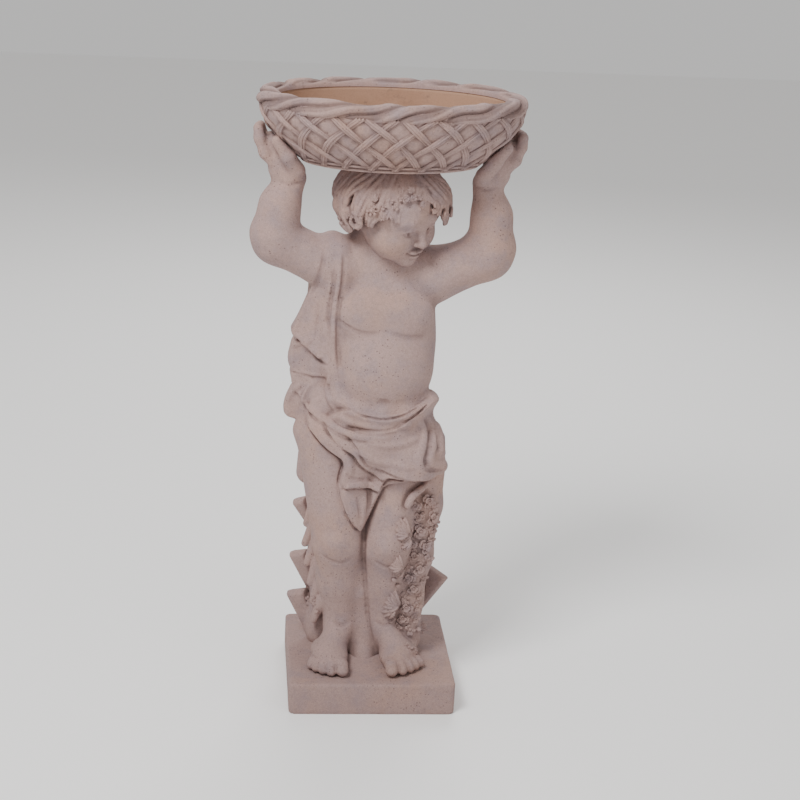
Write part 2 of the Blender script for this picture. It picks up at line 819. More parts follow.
    def sample(self, points: np.ndarray) -> np.ndarray:
        """The distance at any points, read between the grid's own, and far off the grid a long way."""
        place = points / self.step - self.first
        off = ((place < 0) | (place > np.array(self.value.shape) - 1)).any(axis=1)
        place = np.clip(place, 0, np.array(self.value.shape) - 1.001)
        cell = place.astype(int)
        share = place - cell
        total = np.zeros(len(points), np.float32)
        for i in (0, 1):
            for j in (0, 1):
                for k in (0, 1):
                    corner = (i, j, k)
                    weight = np.prod([share[:, a] if c else 1 - share[:, a] for a, c in enumerate(corner)], axis=0)
                    total += weight * self.value[tuple((cell + corner).T)]
        return np.where(off, self.FAR, total)

    def skin(self, name: str, triangles: int) -> bpy.types.Object:
        """Turns the clay into a smooth piece, with its hollows marked.

        Args:
            name: The piece's name.
            triangles: The most triangles that it keeps.

        Returns:
            The piece.
        """
        data = bpy.data.meshes.new(name)
        points, quads = self._surface()
        data.from_pydata(points.tolist(), [], quads.tolist())
        data.validate()
        piece = bpy.data.objects.new(name, data)
        bpy.context.scene.collection.objects.link(piece)
        if 2 * len(quads) > triangles:
            modify(piece, "DECIMATE", ratio=triangles / (2 * len(quads)))
        piece.data.shade_smooth()
        self.mark_hollows(piece)
        return piece

    def mark_hollows(self, piece: bpy.types.Object) -> None:
        """Marks how much of the clay stands close around each vertex of a piece."""
        points, normals = mesh_points(piece.data), mesh_normals(piece.data)
        shade = np.zeros(len(points), np.float32)
        for reach in self.HOLLOW_REACHES:
            far = reach * UNIT
            shade += np.clip(1 - self.sample(points + normals * far) / far, 0, 1)
        store_crevice(piece, shade / len(self.HOLLOW_REACHES) * self.HOLLOW_TIMES - self.HOLLOW_LESS)

    def _surface(self) -> tuple[np.ndarray, np.ndarray]:
        """One point in each grid cell that the surface passes through, and the faces between them."""
        value = self.value
        inside = value < 0
        size = np.array(value.shape) - 1
        offsets = [(i, j, k) for i in (0, 1) for j in (0, 1) for k in (0, 1)]
        count = sum(inside[tuple(slice(o, o + n) for o, n in zip(off, size))].astype(np.int8) for off in offsets)
        crossed = (count > 0) & (count < 8)
        cells = np.argwhere(crossed)
        number = np.full(crossed.shape, -1, np.int64)
        number[crossed] = np.arange(len(cells))
        total, hits = np.zeros((len(cells), 3)), np.zeros(len(cells))
        for axis in range(3):
            unit = np.eye(3, dtype=int)[axis]
            for off in (o for o in offsets if not o[axis]):
                start, end = value[tuple((cells + off).T)], value[tuple((cells + off + unit).T)]
                hit = (start < 0) != (end < 0)
                share = np.where(hit, start / np.where(hit, start - end, 1), 0)
                total += hit[:, None] * (np.array(off) + share[:, None] * unit)
                hits += hit
        points = (self.first + cells + total / hits[:, None]) * self.step
        quads = []
        for axis in range(3):
            unit, side, other = (np.eye(3, dtype=int)[(axis + turn) % 3] for turn in range(3))
            low = inside[tuple(slice(0, n - u) for n, u in zip(inside.shape, unit))]
            high = inside[tuple(slice(u, n) for n, u in zip(inside.shape, unit))]
            for leaves in (True, False):
                edges = np.argwhere((low & ~high) if leaves else (~low & high))
                edges = edges[(edges > 0).all(1) & (edges < size).all(1)]
                ring = [edges, edges - side, edges - side - other, edges - other]
                quad = np.stack([number[tuple(r.T)] for r in ring], axis=1)
                quads.append(quad if leaves else quad[:, ::-1])
        faces = np.concatenate(quads)
        return points, faces[(faces >= 0).all(1)]


def limb(*joints: Place) -> list[Form]:
    """Bones from joint to joint, each joint being its x, y, z and radius in units."""
    return chain([at(*joint[:3]) for joint in joints], [joint[3] for joint in joints])


@dataclass(frozen=True)
class HeadFrame:
    """Where the head sits, how it turns to his left and bows, and the round crown that his hair lies on.

    Attributes:
        centre: The head's middle in the drawing.
        turn: Its turn.
        crown: The crown's centre in the head's own units.
        radii: The crown's radii.
        narrow: How much narrower the crown grows towards its top on his right side, as a share.
    """

    centre: Place = (6, -13, 821)
    turn: Matrix = Euler((math.radians(21), math.radians(-5), math.radians(39)), "XYZ").to_matrix()
    crown: Place = (4, 12, 2)
    radii: Place = (75, 82, 66)
    narrow: float = 0.34

    def point(self, x: float, y: float, z: float) -> np.ndarray:
        """A point of the head's own frame in metres."""
        return at(*self.centre) + np.array(self.turn @ Vector((x, y, z))) * UNIT

    def egg(self, place: Place, radii: Place) -> Egg:
        """An egg that stands as the head does."""
        return Egg(self.point(*place), radii, self.turn)

    def bones(self, *joints: Place) -> list[Form]:
        """Bones from joint to joint in the head's own frame, each joint being x, y, z and radius."""
        return chain([self.point(*joint[:3]) for joint in joints], [joint[3] for joint in joints])

    def way(self, around: float, down: float) -> np.ndarray:
        """The direction outwards at some degrees round from the brow and down from the top, in its own frame."""
        a, d = math.radians(around), math.radians(down)
        return np.array((math.sin(d) * math.sin(a), -math.sin(d) * math.cos(a), math.cos(d)))

    def over(self, around: float, down: float, lift: float = 0.0) -> np.ndarray:
        """A point over the crown in metres, lifted by some units."""
        way = self.way(around, down)
        lean = 1 - self.narrow * max(0.0, way[2]) * (way[0] < 0)
        sizes = zip(self.crown, way, self.radii, (lean, 1, 1))
        return self.point(*(centre + w * (radius + lift) * share for centre, w, radius, share in sizes))


@dataclass
class Head:
    """The cherub's head: a calm child's face and wavy hair.

    Attributes:
        step: The clay's grid in metres.
        triangles: The most triangles of the finished piece.
        locks: How many locks lie round the crown.
        place: Where it sits and how it turns.

    CURLS gives each curl's degrees round and down, its outer radius and the way it winds, and HAIR_BASE the
    eggs under the hair: degrees round and down, the lift and the radius. PER_RADIAN turns a share of a
    radius into degrees, and NEAR_CROWN is the radius on which the locks lie side by side. EYE is how far an
    eye stands from the middle of the face.
    """

    CURLS = (
        (-82, 102, 15, 1), (-98, 118, 18, 1), (-118, 127, 18, 1), (-139, 127, 16, -1), (-161, 122, 15, 1),
        (177, 119, 15, -1), (153, 117, 15, 1), (129, 113, 16, -1), (106, 108, 17, 1), (82, 102, 17, -1),
        (60, 96, 16, 1), (40, 87, 15, -1), (22, 74, 13, 1), (7, 63, 10, -1),
    )
    HAIR_BASE = (
        (20, 60, 0, 13), (36, 68, 2, 16), (54, 76, 3, 18), (74, 84, 2, 18), (98, 90, 0, 20), (125, 94, -3, 20),
        (155, 96, -4, 20), (-175, 98, -5, 20), (-145, 106, -5, 20), (-120, 108, -4, 19), (-100, 104, -4, 17),
    )
    PER_RADIAN, NEAR_CROWN = 57.3, 60
    EYE = 21

    step: float = 0.00125
    triangles: int = 190000
    locks: int = 17
    place: HeadFrame = HeadFrame()

    def build(self) -> bpy.types.Object:
        """Models the head."""
        middle = at(*self.place.centre)
        step = self.step * 1
        clay = Clay(middle - (0.112, 0.118, 0.112), middle + (0.112, 0.118, 0.084), step)
        clay.add_group(limb((-10, 10, 735, 33), (-2, 6, 790, 33)), 4, 0)
        self.face(clay)
        self.hair(clay)
        clay.cut(Bone(at(-400, 0, 985), at(400, 0, 985), 100, 100))
        return clay.skin("head", self.triangles)

    def face(self, clay: Clay) -> None:
        """Adds the face, on plain proportions for a child."""
        egg, bones = self.place.egg, self.place.bones
        clay.add_group([
            egg((3, 12, 4), (66, 77, 64)), egg((0, -20, -26), (53, 50, 57)), egg((0, -36, 14), (50, 36, 38)),
            egg((0, -55, -65), (17, 15, 14)), egg((-29, -41, -34), (25, 25, 26)), egg((29, -41, -34), (25, 25, 26)),
        ], 14, 10)
        for x in (-self.EYE, self.EYE):
            clay.cut(egg((x, -76, -7), (13, 11, 8)), 9)
            clay.add(egg((x, -53.5, -8), (12, 11.5, 11)), 0.8)
            clay.cut(egg((x, -66.5, -9.5), (3.0, 4.5, 3.2)), 0.4)
            out = math.copysign(1, x)
            clay.add_group(bones((x - out * 11, -64, -9, 1.4), (x - out * 5, -68, -1.5, 2.2),
                                 (x + out * 3, -68.5, 0, 2.4), (x + out * 10, -63, -5, 1.9),
                                 (x + out * 13, -58, -9, 1.2)), 2, 2)
            clay.add_group(bones((x - out * 10, -64, -12, 1.0), (x - out * 2, -66.5, -17.5, 1.6),
                                 (x + out * 7, -63, -16, 1.5), (x + out * 12, -58, -11, 1.0)), 2, 2)
            clay.add_group(bones((x - out * 11, -67, 7, 3), (x, -67, 12, 4), (x + out * 13, -60, 10, 3)), 4, 12)
        clay.add_group(bones((0, -66, 3, 5), (0, -73, -12, 5), (0, -79, -24, 7)), 4, 9)
        clay.add_group(bones((-7.5, -72, -27, 4.4), (0, -77, -26, 5), (7.5, -72, -27, 4.4)), 3, 3)
        for x in (-3.6, 3.6):
            clay.cut(bones((x, -75, -33, 1.2), (x, -72, -30, 1.2))[0], 1.5)
        clay.add_group([egg((-5, -69, -43.5), (9, 6.5, 4.2)), egg((5, -69, -43.5), (9, 6.5, 4.2))], 5, 3.5)
        clay.add_group([egg((0, -68, -51.5), (10, 7.5, 4.6))], 0, 3.5)
        for bone in bones((-15, -64, -46, 1.2), (-7, -73, -47.6, 1.3), (0, -75, -47, 1.3), (7, -73, -47.6, 1.3),
                          (15, -64, -46, 1.2)):
            clay.cut(bone, 1.6)
        clay.cut(bones((0, -76, -36, 1.6), (0, -76, -40, 1.8))[0], 3)

    def hair_end(self, around: float) -> float:
        """How far down the crown the hair reaches, in degrees from the top, at an angle round from the brow."""
        side = smooth_step(35, 92, -around) * 48 if around < 0 else smooth_step(2, 40, around) * 44
        return 66 + float(side) + 6 * float(smooth_step(120, 180, abs(around)))

    def fullness(self, around: float) -> float:
        """How much further the hair stands off the crown at an angle round from the brow, in units."""
        return 8 * float(smooth_step(0, 28, around) * (1 - smooth_step(70, 120, around)))

    def lock(self, around: float, span: tuple[float, float], lift: float, radius: float, swirl: float) -> list[Form]:
        """One lock from the crown outwards, waved, in three strands with a groove between them.

        Args:
            around: Degrees round from the brow at the crown.
            span: Degrees down from the top at its root and its tip.
            lift: How far it stands off the crown, in units.
            radius: Its half width.
            swirl: Degrees that it turns round the crown on its way.

        Returns:
            The strands' bones.
        """
        steps, forms = 12, []
        for strand in (-1, 0, 1):
            points = []
            for i in range(steps + 1):
                t = i / steps
                down = span[0] + (span[1] - span[0]) * t
                wave = (3.5 + 0.4 * self.fullness(around)) * math.sin(7 * t + around * 0.37) * (0.3 + t)
                ring = self.NEAR_CROWN * max(math.sin(math.radians(down)), 0.3)
                spread = strand * radius * 0.62 / ring * self.PER_RADIAN
                tip = 1 - 0.55 * smooth_step(0.7, 1.0, t)
                rise = (lift * (0.3 + 0.7 * t) + (3 + self.fullness(around)) * t
                        + 2.5 * math.sin(7 * t + around * 0.8) * t - 1.1 * abs(strand))
                size = radius * (0.44 if strand else 0.48) * float(tip)
                points.append((self.place.over(around + swirl * t + wave + spread * tip, down, rise), size))
            forms += chain(*zip(*points))
        return forms

    def curl(self, around: float, down: float, size: float, hand: int, lift: float) -> list[Form]:
        """A curl that winds in over the hair.

        Args:
            around: Degrees round of its middle.
            down: Degrees down of its middle.
            size: Its outer radius in units.
            hand: 1 or -1, which way it winds.
            lift: How far it stands off the crown.

        Returns:
            The curl's bones, in two strands.
        """
        forms = []
        for strand in (0, 1):
            points = []
            for i in range(15):
                t = i / 14
                angle = hand * (1.9 - t * 5.0)
                radius = (size - strand * size * 0.4) * (1 - 0.7 * t)
                turn = radius * self.PER_RADIAN / self.place.radii[1] / max(math.sin(math.radians(down)), 0.4)
                spot = self.place.over(around + turn * math.cos(angle), down - radius * 0.72 * math.sin(angle),
                                       lift + 5 * t - 1.5 * strand)
                points.append((spot, size * (0.27 - 0.09 * t)))
            forms += chain(*zip(*points))
        return forms

    def hair(self, clay: Clay) -> None:
        """Adds the hair: a base, two layers of locks and the curls round its edge."""
        over, egg = self.place.over, self.place.egg
        clay.add_group([
            egg((9, 16, 4), (69, 79, 66)),
            *(Egg(over(*spot), (size, size, size)) for *spot, size in self.HAIR_BASE),
        ], 14, 0)
        forms: list[Form] = []
        for i in range(self.locks):
            around = -180 + 360 * i / self.locks
            forms += self.lock(around, (10, self.hair_end(around) + 4 * math.sin(i * 2.3)), 3, 13, 12)
        clay.add_group(forms, 0.8, 1)
        forms = []
        for i in range(self.locks):
            around = -180 + 360 * (i + 0.5) / self.locks
            end = self.hair_end(around) * (0.84 + 0.07 * math.sin(i * 1.7))
            forms += self.lock(around, (8, end), 6.5, 11, 6)
        clay.add_group(forms, 0.6, 0.8)
        forms = []
        for i, (around, down, size, hand) in enumerate(self.CURLS):
            forms += self.curl(around, down, size, hand, 7 + 2 * (i % 2) + 0.7 * self.fullness(around))
        clay.add_group(forms, 0.8, 1.2)


@dataclass(frozen=True)
class Hands:
    """The two hands under the basket's flanks.

    Attributes:
        half_length: Half the basket's length at its widest, in metres.
        half_depth: Half its depth there.
        foot: Half its length at the foot.
        height: Its height.
    """

    half_length: float = 0.203
    half_depth: float = 0.139
    foot: float = 0.133
    height: float = 0.110

    def outside(self, rise: float, grow: float = 0.0) -> tuple[float, float]:
        """Half length and half depth of the basket's outside at a share of its height."""
        bulge = math.sin(math.pi / 2 * min(rise / 0.8, 1.0))
        half = self.foot + (self.half_length - self.foot) * bulge
        return half + grow, half * self.half_depth / self.half_length + grow

    def forms(self, side: int) -> list[Form]:
        """One hand: its palm, four fingers and the thumb.

        Args:
            side: -1 for his right and 1 for his left.

        Returns:
            The hand's bones.
        """
        def place(rise: float, depth: float, off: float, radius: float) -> tuple[np.ndarray, float]:
            """A place beside the basket: a share of its height, units back and units off its outside."""
            half_length, half_depth = self.outside(rise)
            slope = (self.outside(rise + 0.01)[0] - half_length) / (0.01 * self.height)
            squeeze = math.sqrt(1 - (depth * UNIT / half_depth) ** 2)
            out = Vector((1, 0, -slope)).normalized() * off * UNIT
            spot = Vector((half_length * squeeze, depth * UNIT, BASKET_BASE + self.height * rise)) + out
            return np.array((side * spot.x, spot.y, spot.z)), radius

        forms: list[Form] = []

        def run(*places: tuple[np.ndarray, float]) -> None:
            """Bones from place to place."""
            forms.extend(chain(*zip(*places)))

        run(place(0.10, -2, 32, 22), place(0.16, -6, 18, 19), place(0.30, -4, 14, 16))
        run(place(0.10, 12, 32, 20), place(0.16, 14, 20, 18), place(0.32, 14, 15, 15))
        for depth in (-11, 3, 16, 28):
            run(place(0.14, depth, 34, 10.5), place(0.30, depth, 32, 9.5), place(0.42, depth * 0.95, 24, 8.6),
                place(0.50, depth * 0.92, 17, 7.8))
        run(place(0.02, -20, 20, 13), place(0.18, -32, 14, 11), place(0.36, -36, 9, 8.5))
        return forms


@dataclass
class Figure:
    """The standing child with his cloth, the palm stem behind him and the mound under his feet.

    Attributes:
        step: The clay's grid in metres.
        triangles: The most triangles of the finished piece.
        hands: The hands, which take their places from the basket.

    RIGHT_TOES and LEFT_TOES give each toe's root and tip on the plan and its radius. CREASES gives each fine
    crease of the skin: its line in front view, its radius and its blend.
    """

    RIGHT_TOES = ((-50, -84, -49, -107, 10.5), (-65, -86, -67, -106, 8.5), (-77, -82, -80, -100, 8),
                  (-86, -75, -91, -92, 7.5), (-93, -67, -99, -82, 7))
    LEFT_TOES = ((30, -84, 32, -107, 10.5), (45, -83, 50, -102, 8.5), (56, -77, 63, -93, 8),
                 (65, -69, 73, -84, 7.5), (72, -61, 82, -74, 7))
    CREASES = (
        (((-72, 640), (-52, 629), (-34, 624), (-12, 626)), 0.8, 5), (((12, 626), (34, 620), (60, 618)), 0.7, 5),
        (((-88, 246), (-70, 238), (-52, 236), (-38, 242)), 0.7, 6), (((2, 238), (18, 230), (38, 233)), 0.8, 6),
        (((-60, 118), (-48, 115), (-34, 119)), 0.4, 5), (((8, 120), (22, 116), (36, 120)), 0.4, 5),
    )

    step: float = 0.0019
    triangles: int = 195000
    hands: Hands = Hands()

    def build(self) -> tuple[bpy.types.Object, Clay]:
        """Models the figure from the inside out.

        Returns:
            The piece and its clay.
        """
        step = self.step * 1
        clay = Clay((-0.235, -0.142, PLINTH_HEIGHT - 0.008), (0.235, 0.142, BASKET_BASE + 0.075), step)
        self.body(clay)
        bare = clay.copy()
        for side in (-1, 1):
            clay.add_group(self.hands.forms(side), 5, 12)
        self.hip_cloth(clay, bare)
        self.shoulder_cloth(clay)
        self.palm_stem(clay)
        clay.add_group(limb((82, -2, 390, 32), (82, -10, 320, 27), (70, -10, 230, 28), (60, -10, 150, 26),
                            (66, -18, 82, 20)), 16, 8)
        self.trim_under_basket(clay)
        return clay.skin("figure", self.triangles), clay

    def body(self, clay: Clay) -> None:
        """Adds the bare trunk, arms, legs and feet."""
        clay.add_group([
            Egg(at(-12, 4, 438), (88, 58, 60)), Egg(at(3, -21, 557), (78, 63, 77)),
            Egg(at(3, 8, 585), (78, 52, 100)), Egg(at(0, -2, 612), (80, 52, 60)),
            Egg(at(-2, 2, 660), (82, 54, 70)), Egg(at(-38, -36, 655), (36, 20, 28)),
            Egg(at(36, -36, 657), (36, 20, 28)),
            *limb((-20, 12, 725, 40), (-2, 6, 800, 37)), *limb((-15, 14, 738, 30), (-90, 4, 722, 36)),
            *limb((-10, 14, 735, 30), (84, 4, 712, 36)),
        ], 26, 0)
        self.arm(clay, -1, (-86, 0, 716, 38), (-171, -5, 757, 36), 23)
        self.arm(clay, 1, (82, 0, 706, 40), (159, -3, 742, 38), 22)
        self.leg(clay, ((-70, 0, 425, 60), (-58, -22, 262, 43)), ((-52, -6, 185, 37), (-48, -8, 112, 27),
                 (-48, 8, 80, 24)), 10)
        self.foot(clay, (-50, -18, 98), (-68, -54, 72), 14, self.RIGHT_TOES)
        self.leg(clay, ((39, 0, 412, 53), (20, -28, 260, 41)), ((22, -8, 185, 37), (20, -12, 112, 27),
                 (18, 8, 80, 24)), 6)
        self.foot(clay, (22, -18, 98), (46, -52, 72), -24, self.LEFT_TOES)
        for line, radius, blend in self.CREASES:
            clay.groove(line, radius, 1.0, blend)
        for x, z, size in ((-66, 270, 12), (18, 268, 13)):
            spot = clay.front(x, z, -8)
            clay.add(Egg(spot, (size * 1.3, size, size * 1.2)), 14)
        clay.cut(Egg(clay.front(1, 516, 1.5), (8.5, 4.5, 5.5)), 5)
        self.between_legs(clay)

    def between_legs(self, clay: Clay) -> None:
        """Fills the space between the legs, which the casting leaves as one dark line."""
        clay.add_group(limb((-16, 0, 360, 24), (-17, -10, 300, 22), (-16, -14, 250, 23), (-14, -10, 170, 23),
                            (-12, -4, 110, 23), (-10, 0, 72, 22)), 12, 9)
        clay.add_group(limb((-12, 6, 116, 20), (-11, -10, 78, 25), (-10, -30, 50, 25), (-10, -52, 37, 19)), 12, 14)
        clay.groove(((-18, 300), (-17, 250), (-15, 215), (-10, 170), (-4, 120), (4, 86)), 1.8, 0.3, 4)

    def arm(self, clay: Clay, side: int, shoulder: Place, elbow: Place, wrist: float) -> None:
        """Adds an arm bent up to the basket.

        Args:
            clay: The clay.
            side: -1 for his right and 1 for his left.
            shoulder: Its x, y, z and radius.
            elbow: The same for the elbow.
            wrist: The wrist's radius.
        """
        end = (side * (self.hands.foot / UNIT + 19), -3, DRAWING.drawn_floor + DRAWN_HEIGHT - 29, wrist)
        knob = (elbow[0] + side * 5, elbow[1] - 3, elbow[2] + 14, elbow[3] - 2)
        middle = [(e + w) / 2 for e, w in zip(knob, end)]
        middle[0] += side * 5
        clay.add_group(limb(shoulder, elbow, knob, middle, end), 16, 18)
        clay.add_group([Egg(at(middle[0], middle[1] - 6, middle[2] - 10), (27, 29, 34))], 0, 14)
        line = ((end[0] - 20, end[2] - 2), (end[0], end[2] - 5), (end[0] + 20, end[2]))
        clay.groove(line, 0.5, 1.2, 5)

    def leg(self, clay: Clay, thigh: Sequence[Place], shin: Sequence[Place], blend: float) -> None:
        """Adds a leg from hip to heel, each joint being x, y, z and radius."""
        knee = thigh[-1]
        clay.add_group(limb(*thigh) + limb((*knee[:2], knee[2] - 6, knee[3] - 2), *shin), 12, blend)

    def foot(self, clay: Clay, ankle: Place, middle: Place, turn: float, toes: Sequence[Place]) -> None:
        """Adds a bare foot.

        Args:
            clay: The clay.
            ankle: Where the instep begins.
            middle: The flat's centre.
            turn: Degrees that the flat turns outwards.
            toes: Each toe's root and tip on the plan and its radius.
        """
        flat = Egg(at(*middle), (29, 46, 17), Euler((0, 0, math.radians(turn))).to_matrix())
        clay.add_group([Bone(at(*ankle), at(*middle[:2], 76), 25, 21), flat], 12, 10)
        for x0, y0, x1, y1, radius in toes:
            middle_x, middle_y = (x0 + x1) / 2, (y0 + y1) / 2
            clay.add_group([
                Bone(at(x0, y0, 66), at(middle_x, middle_y, 60 + radius), radius, radius * 0.95),
                Bone(at(middle_x, middle_y, 59 + radius), at(x1, y1, 55 + radius), radius * 0.95, radius),
            ], 3, 4)
            nail = at(x1 + (x1 - x0) * 0.2, y1 + (y1 - y0) * 0.2, 56 + radius * 1.6)
            clay.add(Egg(nail, (radius * 0.5, radius * 0.42, radius * 0.3)), 0.8)

    def hip_cloth(self, clay: Clay, bare: Clay) -> None:
        """Adds the cloth round his hips: its belt, then layer over layer in front, folds and the bunch at his left."""
        clay.add_group([
            Egg(at(-18, 8, 448), (88, 64, 50)), *limb((-100, 6, 478, 24), (-112, 8, 440, 22), (-104, 20, 400, 22)),
            *limb((46, 0, 500, 12), (48, -6, 450, 16), (56, -8, 412, 18)),
        ], 14, 6)
        top = ((124, 450), (112, 490), (84, 524), (66, 516), (30, 500), (0, 495), (-30, 498), (-56, 508), (-84, 516),
               (-112, 506))
        hip = ((-118, 464), (-105, 452), (-93, 441), (-79, 430))
        left = ((20, 388), (50, 380), (84, 378), (106, 388), (130, 410))
        clay.raise_front((*hip, (-61, 418), (-57, 405), (-61, 392), (-64, 375), (-60, 350), (-51, 325), (-38, 302),
                          (-25, 288), (-18, 296), (-9, 322), (0, 348), (12, 374), (50, 378), (84, 376),
                          (104, 386), (130, 410), *top), 8, -4, 0.8, 1.2)
        clay.raise_front(((-57, 364), (-51, 340), (-42, 318), (-33, 300), (-25, 290), (-21, 298), (-12, 322), (-4, 346),
                          (6, 370), (-20, 380), (-50, 380)), 4, -4, 1.6, 0.4)
        clay.raise_front((*hip, (-60, 418), (-56, 405), (-60, 392), (-62, 378), (-57, 369), (-44, 371), (-18, 366),
                          (3, 360), (7, 378), *left, *top), 7, -4)
        clay.raise_front(((-92, 476), (-75, 450), (-60, 438), (-42, 426), (-34, 411), (-25, 402), (-10, 391), (4, 381),
                          (14, 388), (50, 384), (84, 380), (106, 390), (130, 410), (124, 450), (108, 496), (84, 522),
                          (66, 512), (30, 492), (0, 487), (-30, 491), (-56, 502)), 6, -4)
        clay.raise_front(((-60, 470), (-30, 430), (-20, 408), (0, 403), (20, 395), (50, 385), (84, 381), (106, 391),
                          (130, 410), (124, 450), (108, 496), (84, 522), (60, 500), (20, 470), (-20, 468)), 4, -4)
        clay.add(Egg(at(94, -30, 396), (20, 20, 15)), 8)
        for line, radius in (
            (((60, 482), (68, 464), (68, 444), (62, 424), (64, 406), (76, 396)), 5.0),
            (((76, 480), (86, 462), (86, 440), (80, 420), (88, 408), (106, 402)), 5.0),
            (((90, 470), (97, 452), (98, 434), (104, 420)), 4.5),
            (((-104, 486), (-80, 474), (-52, 464), (-20, 460), (10, 459)), 4.5),
            (((-84, 498), (-58, 484), (-30, 478), (6, 474), (44, 480)), 4.5),
            (((-66, 438), (-52, 416), (-46, 394)), 4.0), (((-22, 358), (-22, 334), (-24, 306)), 3.0),
            (((-96, 462), (-80, 447), (-66, 440)), 4.0), (((-36, 436), (-10, 420), (20, 414), (50, 408)), 4.0),
            (((-20, 452), (10, 446), (40, 448), (56, 454)), 3.5),
        ):
            clay.ridge(line, radius, -radius * 0.45, 6)
        for line, radius in (
            (((-84, 486), (-60, 474), (-34, 468), (-6, 465), (24, 466)), 1.3),
            (((-92, 474), (-66, 460), (-44, 453), (-10, 451)), 1.3), (((72, 404), (86, 399), (106, 393)), 2.2),
            (((70, 480), (77, 460), (76, 440), (71, 422), (74, 408)), 1.8), (((88, 470), (93, 446), (90, 424)), 1.8),
            (((-52, 392), (-40, 386), (-20, 380)), 1.2), (((-34, 356), (-30, 334), (-26, 312)), 1.2),
        ):
            clay.groove(line, radius, 0.4, 3)
        clay.add_group(limb((-66, -40, 512, 13), (-36, -56, 500, 14), (0, -61, 496, 14), (36, -56, 500, 14),
                            (70, -38, 514, 13)), 12, 10)
        hem = [bare.front(x, z, 9) for x, z in curve_through(((48, 340), (56, 354), (75, 364), (94, 362), (104, 352)))]
        clay.add_group(chain(hem, [5.5] * len(hem)), 2, 4)
        back = []
        for i, x in enumerate((-104, -82, -58, -34, -8, 20, 48)):
            depth = 62 - 22 * (abs(x + 20) / 90) ** 2
            top_z = 700 if x < -50 else 520 + 20 * (i % 2)
            back += limb((x + 6, depth - 22, top_z, 13), (x + 3, depth, 560 if x < -50 else 470, 17),
                         (x, depth + 4, 430, 19), (x - 3, depth + 6, 352 - 6 * (i % 2), 21))
        clay.add_group(back, 5, 10)
        clay.add_group(limb((-84, 20, 748, 20), (-92, 34, 690, 26), (-98, 32, 600, 26), (-100, 26, 510, 26)), 6, 8)

    def shoulder_cloth(self, clay: Clay) -> None:
        """Adds the cloth that hangs from his right shoulder in four overlapping turns, with their hems and folds."""
        clay.add_group(limb((-84, 0, 745, 24), (-86, 8, 650, 26), (-92, 10, 560, 28), (-100, 12, 490, 26),
                            (-74, -8, 500, 30)), 16, 14)
        clay.add_group(limb((-74, -16, 746, 15), (-76, -20, 690, 17), (-78, -22, 620, 18), (-74, -24, 560, 18),
                            (-62, -36, 512, 16)), 12, 9)
        clay.add_group(limb((-87, -15, 737, 13), (-88, 0, 744, 13), (-88, 26, 734, 16)), 6, 12)
        turns = (
            (((-100, 524), (-138, 518), (-151, 487), (-154, 465), (-143, 456), (-96, 458)),
             8, 0.42, 0.0, (-100, 500), 13),
            (((-70, 578), (-148, 546), (-139, 514), (-110, 484), (-72, 472), (-62, 518)),
             -4, 0.5, 0.06, (-95, 540), 13),
            (((-74, 628), (-140, 608), (-152, 545), (-118, 541), (-72, 545)),
             -11, 0.5, 0.1, (-95, 600), 13),
            (((-74, 744), (-98, 744), (-107, 716), (-120, 673), (-136, 632), (-148, 609), (-136, 603), (-118, 587),
              (-100, 573), (-80, 572), (-78, 629), (-74, 691)),
             -18, 0.46, -0.06, (-92, 650), 13),
        )
        for outline, depth, lean, tilt, about, half in turns:
            clay.add(Sheet(outline, depth, lean, tilt, about, half), 2)
        hems = (
            ((-106, 722), (-120, 673), (-136, 632), (-148, 609), (-136, 603), (-118, 587), (-100, 573), (-86, 569)),
            ((-140, 606), (-152, 545), (-118, 541), (-92, 543)),
            ((-148, 546), (-139, 514), (-110, 484), (-84, 474)),
        )
        for hem in hems:
            clay.ridge(tuple((max(x + 3, -140), z) for x, z in hem), 3.2, -1.8, 3)
            clay.groove(tuple((x, z - 5) for x, z in hem[-3:]), 2.0, 0.6, 1.5)
        for line, radius in (
            (((-74, 742), (-75, 700), (-80, 650), (-80, 605), (-77, 565), (-70, 525)), 4.5),
            (((-86, 700), (-94, 650), (-97, 604)), 3.5), (((-84, 545), (-84, 515), (-72, 492)), 4.0),
            (((-112, 604), (-128, 592), (-142, 584)), 3.0), (((-104, 530), (-118, 508), (-124, 490)), 3.5),
            (((-128, 520), (-140, 502), (-146, 486)), 3.0),
        ):
            clay.ridge(line, radius, -radius * 0.4, 4)
        for line, radius in (
            (((-98, 744), (-102, 722), (-109, 698), (-117, 674)), 2.0),
            (((-68, 738), (-69, 700), (-74, 650), (-73, 605), (-70, 570)), 0.9),
            (((-82, 720), (-84, 690), (-88, 650), (-88, 610)), 1.1), (((-104, 660), (-106, 630), (-108, 606)), 1.0),
            (((-112, 522), (-120, 502), (-128, 484)), 1.2),
        ):
            clay.groove(line, radius, 0.6, 5)

